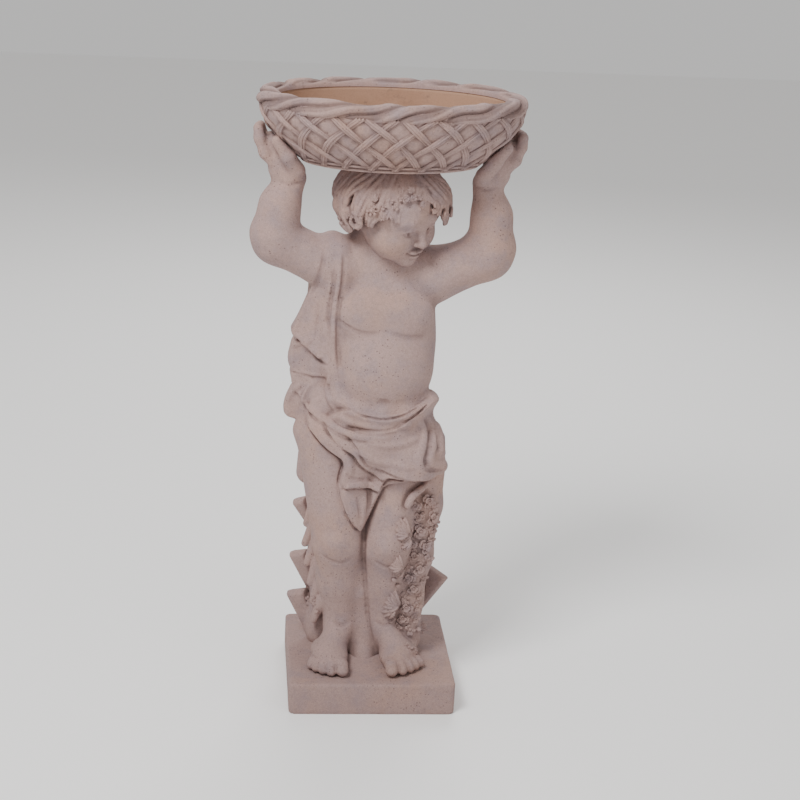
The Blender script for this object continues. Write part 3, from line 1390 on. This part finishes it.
    def palm_stem(self, clay: Clay) -> None:
        """Adds the stem behind his legs, with the stumps of its pruned leaves in rows round it."""
        clay.add_group([Bone(at(-2, 58, 50), at(-2, 50, 360), 58, 46, flat=(0, 1, 0), times=1.35)], 0, 8)
        forms: list[Form] = []
        rows, lowest, between, apart = 6, 96, 46, 38
        for row in range(rows):
            height, reach = lowest + between * row, 92 - row * 3
            for turn in range(-2, 3):
                angle = math.radians(turn * apart + (apart / 2 if row % 2 else 0))
                out = np.array((math.sin(angle), math.cos(angle) * 0.7, 0))
                root = at(*(out[:2] * 56 + (-2, 48)), height - 40)
                tip = at(*(out[:2] * reach + (-2, 44)), height + 18)
                across = np.cross(out, (0, 0, 1))
                forms.append(Wedge(root, tip, across, (9, 6), (20, 9), 0.3))
        clay.add_group(forms, 1.5, 4)
        forms = []
        for root, tip, narrow, wide in (
            ((-98, 50, 258), (-122, 50, 304), 8, 13), ((-92, 46, 138), (-121, 45, 211), 8, 17),
            ((-90, 40, 58), (-122, 42, 141), 9, 19), ((86, 42, 112), (119, 42, 178), 9, 20),
        ):
            forms.append(Wedge(at(*root), at(*tip), (0.9, -0.45, 0), (narrow, 7), (wide, 11), 0.3))
        clay.add_group(forms, 1.5, 4)
        clay.add_group(limb((-80, 20, 330, 22), (-78, 24, 240, 23), (-74, 28, 150, 24), (-76, 30, 70, 28)), 8, 8)
        for root, tip in (((-96, 12, 312), (-110, 16, 272)), ((-94, 10, 278), (-112, 12, 238)),
                          ((-92, 8, 246), (-107, 10, 204)), ((-88, 4, 212), (-101, 6, 170)),
                          ((-84, 0, 178), (-96, 2, 138)), ((-80, -6, 144), (-93, -4, 106))):
            clay.add_group([Bone(at(*root), at(*tip), 12, 6, flat=(0.5, 0.85, 0.1), times=1.5)], 0, 1.5)

    def trim_under_basket(self, clay: Clay) -> None:
        """Cuts crown and palms to the basket's outside, with a little room."""
        slices, (x, y, z) = clay.window(np.array((-1.0, -1.0, BASKET_BASE - 0.004)), np.array((1.0, 1.0, 2.0)))
        rise = np.clip((z - BASKET_BASE) / self.hands.height, 0, 1)
        bulge = np.sin(np.pi / 2 * np.minimum(rise / 0.8, 1.0))
        half = self.hands.foot + (self.hands.half_length - self.hands.foot) * bulge + 0.0035
        inside = np.sqrt((x / half) ** 2 + (y / (half * self.hands.half_depth / self.hands.half_length)) ** 2)
        far = np.maximum((inside - 1) * half * 0.75, BASKET_BASE - z)
        clay.value[slices] = np.maximum(clay.value[slices], -far.astype(np.float32))


def facing(spot: np.ndarray, outward: np.ndarray, spin: float, size: float) -> Matrix:
    """A matrix that stands a pattern on a surface.

    Args:
        spot: The place in metres.
        outward: The direction that the pattern's +Z takes.
        spin: Degrees that it turns about that direction.
        size: How many metres one unit of the pattern is.

    Returns:
        The matrix.
    """
    turn = Vector(outward).to_track_quat("Z", "Y").to_matrix().to_4x4()
    spun = turn @ Matrix.Rotation(math.radians(spin), 4, "Z")
    return Matrix.Translation(Vector(spot)) @ spun @ Matrix.Scale(size, 4)


class Bloom(Enum):
    """The kinds of ornament in the wreath and the garland."""

    DAISY = "daisy"
    ROSETTE = "rosette"
    FLORET = "floret"
    BUD = "bud"
    LEAF = "leaf"


@dataclass(frozen=True)
class Sprig:
    """One ornament of the wreath or the garland.

    Attributes:
        kind: What it is.
        across: Its first place value: x in the drawing, or degrees round the head.
        up: Its second: z in the drawing, or degrees down the crown.
        size: Its half width in units.
        spin: Degrees that it turns on the surface.
        lift: How far it stands off the surface, in units.
    """

    kind: Bloom
    across: float
    up: float
    size: float
    spin: float = 0.0
    lift: float = 1.0


class Patterns:
    """One model of each ornament, half width 1, facing +Z, to be copied into place and then discarded."""

    def __init__(self) -> None:
        """Models them all."""
        self.made = {
            Bloom.DAISY: self.ring_of_petals("daisy", ((11, 0.62, 0.36, 0.15, 14, 0.05),), 0.3),
            Bloom.FLORET: self.ring_of_petals("floret", ((5, 0.52, 0.46, 0.34, 24, 0.1),), 0.2),
            Bloom.ROSETTE: self.ring_of_petals(
                "rosette", ((6, 0.6, 0.42, 0.48, 26, 0.05), (5, 0.34, 0.34, 0.38, 46, 0.26)), 0.24),
            Bloom.BUD: self.bud(),
            Bloom.LEAF: self.leaf(),
        }

    def ring_of_petals(self, name: str, rings: Sequence[Place], eye: float) -> bpy.types.Object:
        """A flower of rings of petals round an eye.

        Args:
            name: What to call it.
            rings: For each ring the count, the middle's distance out, the half length, the half width, the
                degrees that a petal rises and its height.
            eye: The eye's radius.

        Returns:
            The flower.
        """
        parts = []
        for count, out, length, width, rise, height in rings:
            petal = primitive(bpy.ops.mesh.primitive_uv_sphere_add, "petal", segments=10, ring_count=6, radius=1)
            points = mesh_points(petal.data)
            points *= (length, width, 0.17)
            points[:, 2] += 0.5 * points[:, 1] ** 2 / width - 0.09 * (1 - np.abs(points[:, 1]) / width).clip(0)
            points[:, 1] *= 0.75 + 0.35 * points[:, 0] / length
            set_points(petal, points)
            petal.data.transform(Matrix.Translation((out, 0, height)) @ Matrix.Rotation(-math.radians(rise), 4, "Y"))
            for i in range(int(count)):
                turn = 2 * math.pi * (i + 0.5 * (len(parts) % 2)) / count
                parts.append(copied(petal, Matrix.Rotation(turn, 4, "Z")))
            discard(petal)
        heart = primitive(bpy.ops.mesh.primitive_ico_sphere_add, "eye", subdivisions=2, radius=eye)
        heart.data.transform(Matrix.Translation((0, 0, 0.16)) @ Matrix.Diagonal((1, 1, 0.8, 1)))
        base = primitive(bpy.ops.mesh.primitive_ico_sphere_add, "base", subdivisions=2, radius=0.55)
        base.data.transform(Matrix.Translation((0, 0, -0.12)) @ Matrix.Diagonal((1, 1, 0.5, 1)))
        return joined([heart, base, *parts], name)

    def bud(self) -> bpy.types.Object:
        """A closed bud with its sepals folded up."""
        bud = primitive(bpy.ops.mesh.primitive_uv_sphere_add, "bud", segments=20, ring_count=12, radius=1)
        points = mesh_points(bud.data)
        angle = np.arctan2(points[:, 1], points[:, 0])
        points[:, :2] *= (0.66 * (1 - 0.12 * np.cos(5 * angle + 2.2 * points[:, 2])))[:, None]
        points[:, 2] = points[:, 2] * 0.8 + 0.35
        set_points(bud, points)
        return bud

    def leaf(self) -> bpy.types.Object:
        """A spray of five narrow pointed leaflets along +X, each with a sunk midrib."""
        leaflets = []
        for turn, length in ((-46, 0.72), (46, 0.72), (-24, 0.92), (24, 0.92), (0, 1.1)):
            leaflet = primitive(bpy.ops.mesh.primitive_grid_add, "leaflet", x_subdivisions=12, y_subdivisions=6,
                                size=2)
            points = mesh_points(leaflet.data)
            x, y = points[:, 0].copy(), points[:, 1].copy()
            wide = 0.21 * np.clip(1 - np.abs(x) ** 1.7, 0.0, 1) ** 0.75 * (1 - 0.25 * x) + 0.015
            points[:, 0] = (x + 1) * 0.72 * length
            points[:, 1] = y * wide
            points[:, 2] = 0.5 * np.abs(y) * wide + 0.16 * np.sin((x + 1) * 1.5) - 0.03 * abs(turn) / 46
            set_points(leaflet, points)
            modify(leaflet, "SOLIDIFY", thickness=0.16, offset=-1.0)
            leaflet.data.transform(Matrix.Translation((-0.55, 0, 0)) @ Matrix.Rotation(math.radians(turn), 4, "Z"))
            leaflets.append(leaflet)
        return joined(leaflets, "leaf")

    def place(self, sprigs: Iterable[Sprig], where: Callable[[Sprig], tuple[np.ndarray, np.ndarray]],
              name: str) -> bpy.types.Object:
        """Copies ornaments into place as one piece.

        Args:
            sprigs: The ornaments.
            where: Gives an ornament's place and its outward direction.
            name: What to call the piece.

        Returns:
            The piece.
        """
        parts = []
        for sprig in sprigs:
            spot, outward = where(sprig)
            parts.append(copied(self.made[sprig.kind], facing(spot, outward, sprig.spin, sprig.size * UNIT)))
        piece = joined(parts, name)
        piece.data.shade_smooth()
        return piece

    def discard(self) -> None:
        """Removes the models."""
        discard(*self.made.values())


@dataclass
class Wreath:
    """The flowers and leaves along his hair line.

    Attributes:
        place: The head's frame.
        sprigs: The ornaments, each placed in degrees over the crown.
        lift: How far the hair's own surface lies off the crown under them, in units.
    """

    place: HeadFrame = HeadFrame()
    sprigs: Sequence[Sprig] = tuple(Sprig(*row) for row in (
        (Bloom.LEAF, -90, 98, 7.5, 100), (Bloom.FLORET, -84, 94, 5.5), (Bloom.FLORET, -76, 87, 6.5, 30),
        (Bloom.DAISY, -68, 77, 10), (Bloom.LEAF, -72, 66, 8, 80), (Bloom.FLORET, -60, 69, 6),
        (Bloom.LEAF, -56, 79, 7, 250), (Bloom.BUD, -48, 76, 4.5), (Bloom.FLORET, -55, 61, 5.5, 20),
        (Bloom.FLORET, -48, 66, 6, 50), (Bloom.FLORET, -46, 56, 5.5, 10), (Bloom.ROSETTE, -38, 55, 7),
        (Bloom.LEAF, -32, 45, 8.5, 120), (Bloom.FLORET, -28, 52, 6, 40), (Bloom.FLORET, -18, 51, 5.5),
        (Bloom.LEAF, -14, 58, 7, 200),
    ))
    lift: float = 14

    def build(self, patterns: Patterns) -> bpy.types.Object:
        """Sets the wreath on the crown."""
        def where(sprig: Sprig) -> tuple[np.ndarray, np.ndarray]:
            """The place of an ornament over the crown."""
            spot = self.place.over(sprig.across, sprig.up, self.lift + sprig.lift)
            return spot, spot - self.place.over(sprig.across, sprig.up, 0)
        return patterns.place(self.sprigs, where, "wreath")


@dataclass
class Garland:
    """The garland of flowers and leaves down the outside of his left leg.

    Attributes:
        sprigs: The ornaments, each placed in the drawing.
    """

    sprigs: Sequence[Sprig] = tuple(Sprig(*row) for row in (
        (Bloom.ROSETTE, 62, 334, 12), (Bloom.ROSETTE, 84, 338, 13, 30), (Bloom.FLORET, 95, 328, 11),
        (Bloom.LEAF, 40, 298, 27, 155), (Bloom.LEAF, 46, 276, 22, 200),
        (Bloom.ROSETTE, 68, 311, 13, 20), (Bloom.ROSETTE, 93, 308, 14),
        (Bloom.FLORET, 52, 294, 10), (Bloom.FLORET, 99, 296, 10), (Bloom.ROSETTE, 74, 284, 14, 10),
        (Bloom.FLORET, 93, 281, 11), (Bloom.ROSETTE, 58, 266, 12), (Bloom.ROSETTE, 84, 257, 14, 40),
        (Bloom.FLORET, 93, 266, 10), (Bloom.LEAF, 34, 238, 23, 160), (Bloom.LEAF, 38, 222, 20, 195),
        (Bloom.ROSETTE, 66, 242, 12), (Bloom.FLORET, 90, 234, 12), (Bloom.FLORET, 56, 222, 10),
        (Bloom.ROSETTE, 76, 218, 13), (Bloom.BUD, 36, 203, 7), (Bloom.ROSETTE, 60, 201, 12, 15),
        (Bloom.FLORET, 83, 198, 11), (Bloom.BUD, 42, 190, 6), (Bloom.ROSETTE, 68, 181, 12),
        (Bloom.LEAF, 32, 160, 28, 160), (Bloom.LEAF, 28, 146, 24, 200), (Bloom.FLORET, 54, 166, 10),
        (Bloom.FLORET, 78, 168, 10), (Bloom.ROSETTE, 58, 148, 12), (Bloom.FLORET, 76, 148, 10),
        (Bloom.FLORET, 34, 128, 10), (Bloom.ROSETTE, 54, 126, 11), (Bloom.FLORET, 74, 126, 10),
        (Bloom.FLORET, 46, 110, 9), (Bloom.FLORET, 66, 106, 11), (Bloom.LEAF, 88, 92, 15, -30),
        (Bloom.BUD, 80, 104, 7), (Bloom.FLORET, 62, 88, 9), (Bloom.LEAF, 70, 80, 12, -70),
        (Bloom.FLORET, -92, 142, 9), (Bloom.FLORET, -100, 128, 9), (Bloom.BUD, -88, 126, 6),
    ))

    def build(self, patterns: Patterns, clay: Clay) -> bpy.types.Object:
        """Sets the garland on the figure's clay."""
        def where(sprig: Sprig) -> tuple[np.ndarray, np.ndarray]:
            """The place of an ornament on the front of the clay."""
            spot = clay.front(sprig.across, sprig.up, sprig.lift)
            side = max(-0.8, min(0.9, (sprig.across - 66) / 40 if sprig.across > 0 else -0.5))
            return spot, np.array((side, -1.0, 0.12))
        return patterns.place(self.sprigs, where, "garland")


@dataclass
class Plinth:
    """The square plinth that the figure stands on.

    Attributes:
        width: Its width and depth in metres.
        height: Its height.
        corner: How far its upright corners are cut back.
        edge: How far its top edge is rubbed.
        mound: How high the ground rises under his feet.
    """

    width: float = 0.272
    height: float = PLINTH_HEIGHT
    corner: float = 0.011
    edge: float = 0.0028
    mound: float = 0.010

    def build(self) -> bpy.types.Object:
        """Models the plinth: a block with rounded corners, worn edges, a slightly uneven skin and a mound."""
        block = primitive(bpy.ops.mesh.primitive_cube_add, "plinth", size=1, location=(0, 0, self.height / 2),
                          scale=(self.width, self.width, self.height))
        settle(block)
        for low, offset, segments in ((False, self.corner, 5), (True, self.edge, 3)):
            select_only(block)
            bpy.ops.object.mode_set(mode="EDIT")
            bpy.ops.mesh.select_mode(type="EDGE")
            bpy.ops.mesh.select_all(action="DESELECT")
            bpy.ops.object.mode_set(mode="OBJECT")
            for edge in block.data.edges:
                a, b = (block.data.vertices[i].co.z for i in edge.vertices)
                edge.select = min(a, b) > self.height - 1e-5 if low else abs(a - b) > self.height / 2
            bpy.ops.object.mode_set(mode="EDIT")
            bpy.ops.mesh.bevel(offset=offset, segments=segments, profile=0.55, affect="EDGES")
            bpy.ops.object.mode_set(mode="OBJECT")
        modify(block, "REMESH", mode="VOXEL", voxel_size=0.0026)
        points = mesh_points(block.data)
        x, y, z = points.T
        wave = (0.35 * np.sin(x * 61 + 3 * np.sin(y * 37)) + 0.35 * np.sin(z * 90 + x * 43 + 2)
                + 0.3 * np.sin(y * 71 + z * 50))
        inward = np.clip((np.abs(points[:, :2]).max(axis=1) - self.width / 2 + 0.02) / 0.02, 0, 1)
        points[:, :2] *= (1 - 0.0022 * inward * (0.5 + 0.5 * wave))[:, None]
        points[:, 2] -= np.where(z > self.height - 0.003, 0.0006 * (0.5 + 0.5 * wave), 0)
        far = np.hypot(x / (self.width * 0.46), (y - 0.01) / (self.width * 0.44))
        points[:, 2] += np.where(z > self.height / 2, self.mound * (1 - smooth_step(0.35, 1.0, far)), 0)
        set_points(block, points)
        block.data.shade_smooth()
        return block


@dataclass
class Basket:
    """The oval lattice basket: its bowl, crossing strands, foot, rope rim and tan inside.

    Attributes:
        sizes: The outside that the hands share.
        wall: The wall's thickness in metres.
        floor: The floor's thickness.
        rim_width: The rope's width.
        rim_height: The rope's height.
        overhang: How far the rope stands out past the wall.
        lip: How far down the rope reaches on the inside.
        rest: How far the inside's mouth reaches under the rope.
        skin: The tan lining's thickness.
        strand: The radius of a lattice strand.
        spread: How far a band's outer strands lie from its middle one, in bands.
        bands: How many bands of strands lean each way round the basket.
        rows: How many meshes of the lattice stand over each other.
        turns: How many strands of the rope pass any one line along it.
    """

    sizes: Hands = Hands()
    wall: float = 0.011
    floor: float = 0.012
    rim_width: float = 0.034
    rim_height: float = 0.029
    overhang: float = 0.007
    lip: float = 0.013
    rest: float = 0.002
    skin: float = 0.0012
    strand: float = 0.0025
    spread: float = 0.092
    bands: int = 20
    rows: float = 1.9
    turns: int = 13

    def inside(self, rise: float, skin: float = 0.0) -> tuple[float, float]:
        """Half length and half depth of the inside at a share of its height, less a skin."""
        side = self.sizes.outside(rise, -self.wall)
        mouth = self.sizes.outside(1.0, self.overhang - self.rim_width + self.rest)
        return min(side[0], mouth[0]) - skin, min(side[1], mouth[1]) - skin

    @property
    def base(self) -> float:
        """The height of its underside."""
        return BASKET_BOX[0][2]

    def ring_body(self, name: str, rings: Sequence[Place], around: int = 128) -> bpy.types.Object:
        """A closed body, extruded ring by ring from an oval.

        Args:
            name: What to call it.
            rings: Each ring's half length, half depth and height, in metres.
            around: How many points an oval has.

        Returns:
            The body.
        """
        body = primitive(bpy.ops.mesh.primitive_circle_add, name, vertices=around, radius=1,
                         location=(0, 0, rings[0][2]), fill_type="NGON")
        body.scale = (rings[0][0], rings[0][1], 1)
        settle(body)
        bpy.ops.object.mode_set(mode="EDIT")
        bpy.ops.mesh.select_mode(type="VERT")
        bpy.ops.mesh.select_all(action="SELECT")
        for below, ring in zip(rings, rings[1:]):
            bpy.ops.mesh.extrude_region_move(TRANSFORM_OT_translate={"value": (0, 0, ring[2] - below[2])})
            bpy.ops.transform.resize(value=(ring[0] / below[0], ring[1] / below[1], 1),
                                     center_override=(0, 0, ring[2]))
        bpy.ops.object.mode_set(mode="OBJECT")
        faces_out(body)
        body.data.shade_smooth()
        return body

    def bowl(self) -> bpy.types.Object:
        """The plain wall and floor under the lattice."""
        height = self.sizes.height
        rings = [(*self.sizes.outside(rise), self.base + height * rise) for rise in np.linspace(0, 0.9, 14)]
        inside = [(*self.inside(rise), self.base + max(height * rise, self.floor))
                  for rise in np.linspace(0.9, 0.11, 16)]
        return self.ring_body("basket_bowl", rings + inside)

    def lining(self) -> bpy.types.Object:
        """The tan skin over the inside of wall and floor."""
        height, skin = self.sizes.height, self.skin
        outer = [(*self.inside(rise), self.base + max(height * rise, self.floor - skin))
                 for rise in np.linspace(0.11, 0.888, 16)]
        inner = [(*self.inside(rise, skin), self.base + max(height * rise, self.floor + skin))
                 for rise in np.linspace(0.888, 0.12, 16)]
        return self.ring_body("basket_lining", outer + inner)

    def lattice(self) -> bpy.types.Object:
        """The crossing strands, three to a band, each over one band and under the next."""
        curve = bpy.data.curves.new("basket_lattice", "CURVE")
        curve.dimensions, curve.bevel_depth, curve.bevel_resolution = "3D", self.strand, 2
        curve.use_fill_caps, curve.resolution_u = True, 2
        steps, low, top = 15, 0.05, (self.sizes.height - self.rim_height * 0.75) / self.sizes.height
        for way in (-1, 1):
            for band in range(self.bands):
                for strand in (-self.spread, 0.0, self.spread):
                    line = curve.splines.new("POLY")
                    line.points.add(steps)
                    for i in range(steps + 1):
                        share = i / steps
                        sway = 0.035 * math.sin(band * 2.7 + way + share * 6)
                        turn = (band + strand + sway + way * share * self.rows) / self.bands
                        crossing = 2 * band + way * share * self.rows * 2
                        rise = low + (top - low) * share
                        grow = 0.0008 + 0.0013 * way * math.cos(math.pi * crossing) - 0.0008 * abs(strand) / self.spread
                        x, y = self.oval(*self.sizes.outside(rise, grow), turn)
                        line.points[i].co = (x, y, self.base + self.sizes.height * rise, 1)
        strands = bpy.data.objects.new("basket_lattice", curve)
        bpy.context.scene.collection.objects.link(strands)
        select_only(strands)
        bpy.ops.object.convert(target="MESH")
        piece = bpy.context.active_object
        piece.data.shade_smooth()
        return named(piece, "basket_lattice")

    def oval(self, half_length: float, half_depth: float, turn: float) -> tuple[float, float]:
        """A point of an oval at some share of its length, so that the meshes are even all round."""
        fine = np.linspace(0, 2 * math.pi, 721)
        middle = (fine[1:] + fine[:-1]) / 2
        run = np.concatenate(((0,), np.cumsum(np.hypot(half_length * np.sin(middle), half_depth * np.cos(middle)))))
        angle = float(np.interp((turn % 1.0) * run[-1], run, fine))
        return half_length * math.cos(angle), half_depth * math.sin(angle)

    def foot(self) -> bpy.types.Object:
        """Two thin ridges round the foot."""
        ridges = []
        for height, radius, grow in ((0.0032, 0.0032, 0.0), (0.0098, 0.0026, 0.0008)):
            half_length, half_depth = self.sizes.outside(height / self.sizes.height, grow)
            ridge = primitive(bpy.ops.mesh.primitive_torus_add, "ridge", major_radius=1, minor_radius=radius,
                              major_segments=160, minor_segments=12)
            points = mesh_points(ridge.data)
            angle = np.arctan2(points[:, 1], points[:, 0])
            out = np.hypot(points[:, 0], points[:, 1]) - 1
            points[:, 0] = np.cos(angle) * (half_length + out)
            points[:, 1] = np.sin(angle) * (half_depth + out)
            points[:, 2] += self.base + height
            set_points(ridge, points)
            ridges.append(ridge)
        piece = joined(ridges, "basket_foot")
        piece.data.shade_smooth()
        return piece

    def rim(self) -> bpy.types.Object:
        """The rope round the rim: flat strands laid side by side and twisted, each with two finer grooves."""
        along, across, strands = 1080, 44, 3
        rope = primitive(bpy.ops.mesh.primitive_torus_add, "basket_rim", major_radius=1, minor_radius=0.25,
                         major_segments=along, minor_segments=across)
        points = mesh_points(rope.data).astype(float)
        turn = np.arctan2(points[:, 1], points[:, 0]) / (2 * math.pi)
        section = np.arctan2(points[:, 2], np.hypot(points[:, 0], points[:, 1]) - 1)
        uneven = 0.16 * np.sin(2 * math.pi * (turn * 5 + 0.2)) + 0.1 * np.sin(2 * math.pi * (turn * 13 + 0.4))
        phase = turn * self.turns - strands * section / (2 * math.pi) + uneven
        groove = np.abs((phase % 1.0) * 2 - 1)
        fine = np.abs((phase * 3 % 1.0) * 2 - 1)
        woven = smooth_step(-0.75, -0.1, np.cos(section) + 0.35 * np.sin(section))
        lumps = 0.0015 * np.sin(2 * math.pi * phase + 1.2) + 0.0008 * np.sin(2 * math.pi * turn * 9)
        depth = (0.0040 * groove ** 5 + 0.0017 * fine ** 4 + 0.0012 + lumps) * woven
        half_length, half_depth = self.sizes.outside(1.0, self.overhang - self.rim_width / 2)
        where = np.linspace(0, 1, 361)
        ring = np.array([self.oval(half_length, half_depth, share) for share in where])
        x, y = (np.interp(turn % 1.0, where, ring[:, axis]) for axis in (0, 1))
        outward = np.stack((x / half_length ** 2, y / half_depth ** 2), axis=1)
        outward /= np.linalg.norm(outward, axis=1, keepdims=True)
        square = np.where(np.cos(section) < 0, 0.45, 0.85)
        wide = (self.rim_width / 2 - depth) * np.sign(np.cos(section)) * np.abs(np.cos(section)) ** square
        points[:, 0], points[:, 1] = x + outward[:, 0] * wide, y + outward[:, 1] * wide
        tall = (self.rim_height / 2 - depth) * np.sin(section)
        tall = np.where(np.cos(section) < -0.25, np.maximum(tall, self.rim_height / 2 - self.lip), tall)
        points[:, 2] = self.base + self.sizes.height - self.rim_height / 2 + tall
        set_points(rope, points)
        faces_out(rope)
        rope.data.shade_smooth()
        store_crevice(rope, np.clip(depth / 0.0036, 0, 1) ** 0.8 * 0.9)
        return rope


class Studio:
    """The plain floor, the soft lights and the camera.

    AZIMUTH, ELEVATION and ROLL turn the camera, in degrees, about TARGET at DISTANCE metres. LIGHTS gives
    each light's name, place, side and power in watts, and all of them look at CHEST.
    """

    AZIMUTH, ELEVATION, ROLL = -5.6646, 18.5148, 2.8911
    TARGET = (0.0339, 0.0, 0.4972)
    DISTANCE, LENS, SENSOR = 3.0157, 83.8, 36.0
    LIGHTS = (("key", (-1.3, -1.6, 3.1), 1.0, 102), ("fill", (1.9, -2.2, 1.3), 2.0, 13),
              ("back", (0.4, 2.4, 2.4), 1.6, 42))
    CHEST = (0, 0, 0.5)
    SKY, SKY_STRENGTH = (1.0, 0.99, 0.98, 1.0), 0.62
    FLOOR_SIZE = 14

    def camera(self) -> None:
        """Stands the camera where the photograph was taken."""
        a, e, r = (math.radians(v) for v in (self.AZIMUTH, self.ELEVATION, self.ROLL))
        back = Vector((math.sin(a) * math.cos(e), -math.cos(a) * math.cos(e), math.sin(e)))
        level = Vector((math.cos(a), math.sin(a), 0.0))
        plumb = back.cross(level)
        right = level * math.cos(r) + plumb * math.sin(r)
        up = plumb * math.cos(r) - level * math.sin(r)
        data = bpy.data.cameras.new("camera")
        data.lens, data.sensor_width, data.clip_end = self.LENS, self.SENSOR, 50.0
        camera = bpy.data.objects.new("camera", data)
        bpy.context.scene.collection.objects.link(camera)
        matrix = Matrix((right, up, back)).transposed().to_4x4()
        matrix.translation = Vector(self.TARGET) + back * self.DISTANCE
        camera.matrix_world = matrix
        bpy.context.scene.camera = camera

    def light(self, name: str, place: Place, size: float, watts: float) -> None:
        """Hangs a square soft white light that looks at the figure's chest.

        Args:
            name: What to call it.
            place: Where it hangs, in metres.
            size: Its side.
            watts: Its power.
        """
        data = bpy.data.lights.new(name, "AREA")
        data.size, data.energy = size, watts
        lamp = bpy.data.objects.new(name, data)
        bpy.context.scene.collection.objects.link(lamp)
        lamp.location = place
        lamp.rotation_euler = (Vector(place) - Vector(self.CHEST)).to_track_quat("Z", "Y").to_euler()

    def build(self, finish: bpy.types.Material) -> None:
        """Sets up the studio.

        Args:
            finish: The floor's material.
        """
        floor = primitive(bpy.ops.mesh.primitive_grid_add, "studio_floor", x_subdivisions=8, y_subdivisions=8,
                          size=self.FLOOR_SIZE)
        floor.data.materials.append(finish)
        floor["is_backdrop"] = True
        world = bpy.data.worlds.new("studio")
        bpy.context.scene.world = world
        world.use_nodes = True
        background = world.node_tree.nodes["Background"]
        background.inputs["Color"].default_value = self.SKY
        background.inputs["Strength"].default_value = self.SKY_STRENGTH
        for lamp in self.LIGHTS:
            self.light(*lamp)
        self.camera()


def hand_in(piece: bpy.types.Object, node: str, finish: bpy.types.Material) -> None:
    """Dresses a piece and ties it to the frame.

    Args:
        piece: The piece.
        node: The CAD node that it stands for.
        finish: Its material.
    """
    piece.data.materials.clear()
    piece.data.materials.append(finish)
    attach(piece, "root")
    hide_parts(node)
    log.info("%s: %d faces for %s", piece.name, len(piece.data.polygons), node)


def main() -> None:
    """Builds the statue and its studio, and keeps the two boxes."""
    logging.basicConfig(level=logging.INFO, format="%(message)s")
    stone, lining = CastStone().make(), TanLining().make()
    figure, clay = Figure().build()
    head = Head().build()
    patterns = Patterns()
    wreath = Wreath().build(patterns)
    garland = Garland().build(patterns, clay)
    patterns.discard()
    for piece in (figure, head, wreath, garland, Plinth().build()):
        hand_in(piece, "cherub", stone)
    basket = Basket()
    woven = [basket.bowl(), basket.lattice(), basket.foot()]
    shelter_between(woven, SHELTER_REACH)
    for piece in (*woven, basket.rim()):
        hand_in(piece, "basket", stone)
    hand_in(basket.lining(), "basket", lining)
    Studio().build(PaleFloor().make())
    boxes = {"cad": CAD_BOX, "visual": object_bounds()}
    {key: [[float(v) for v in corner] for corner in box] for key, box in boxes.items()}


if __name__ == "__main__":
    main()
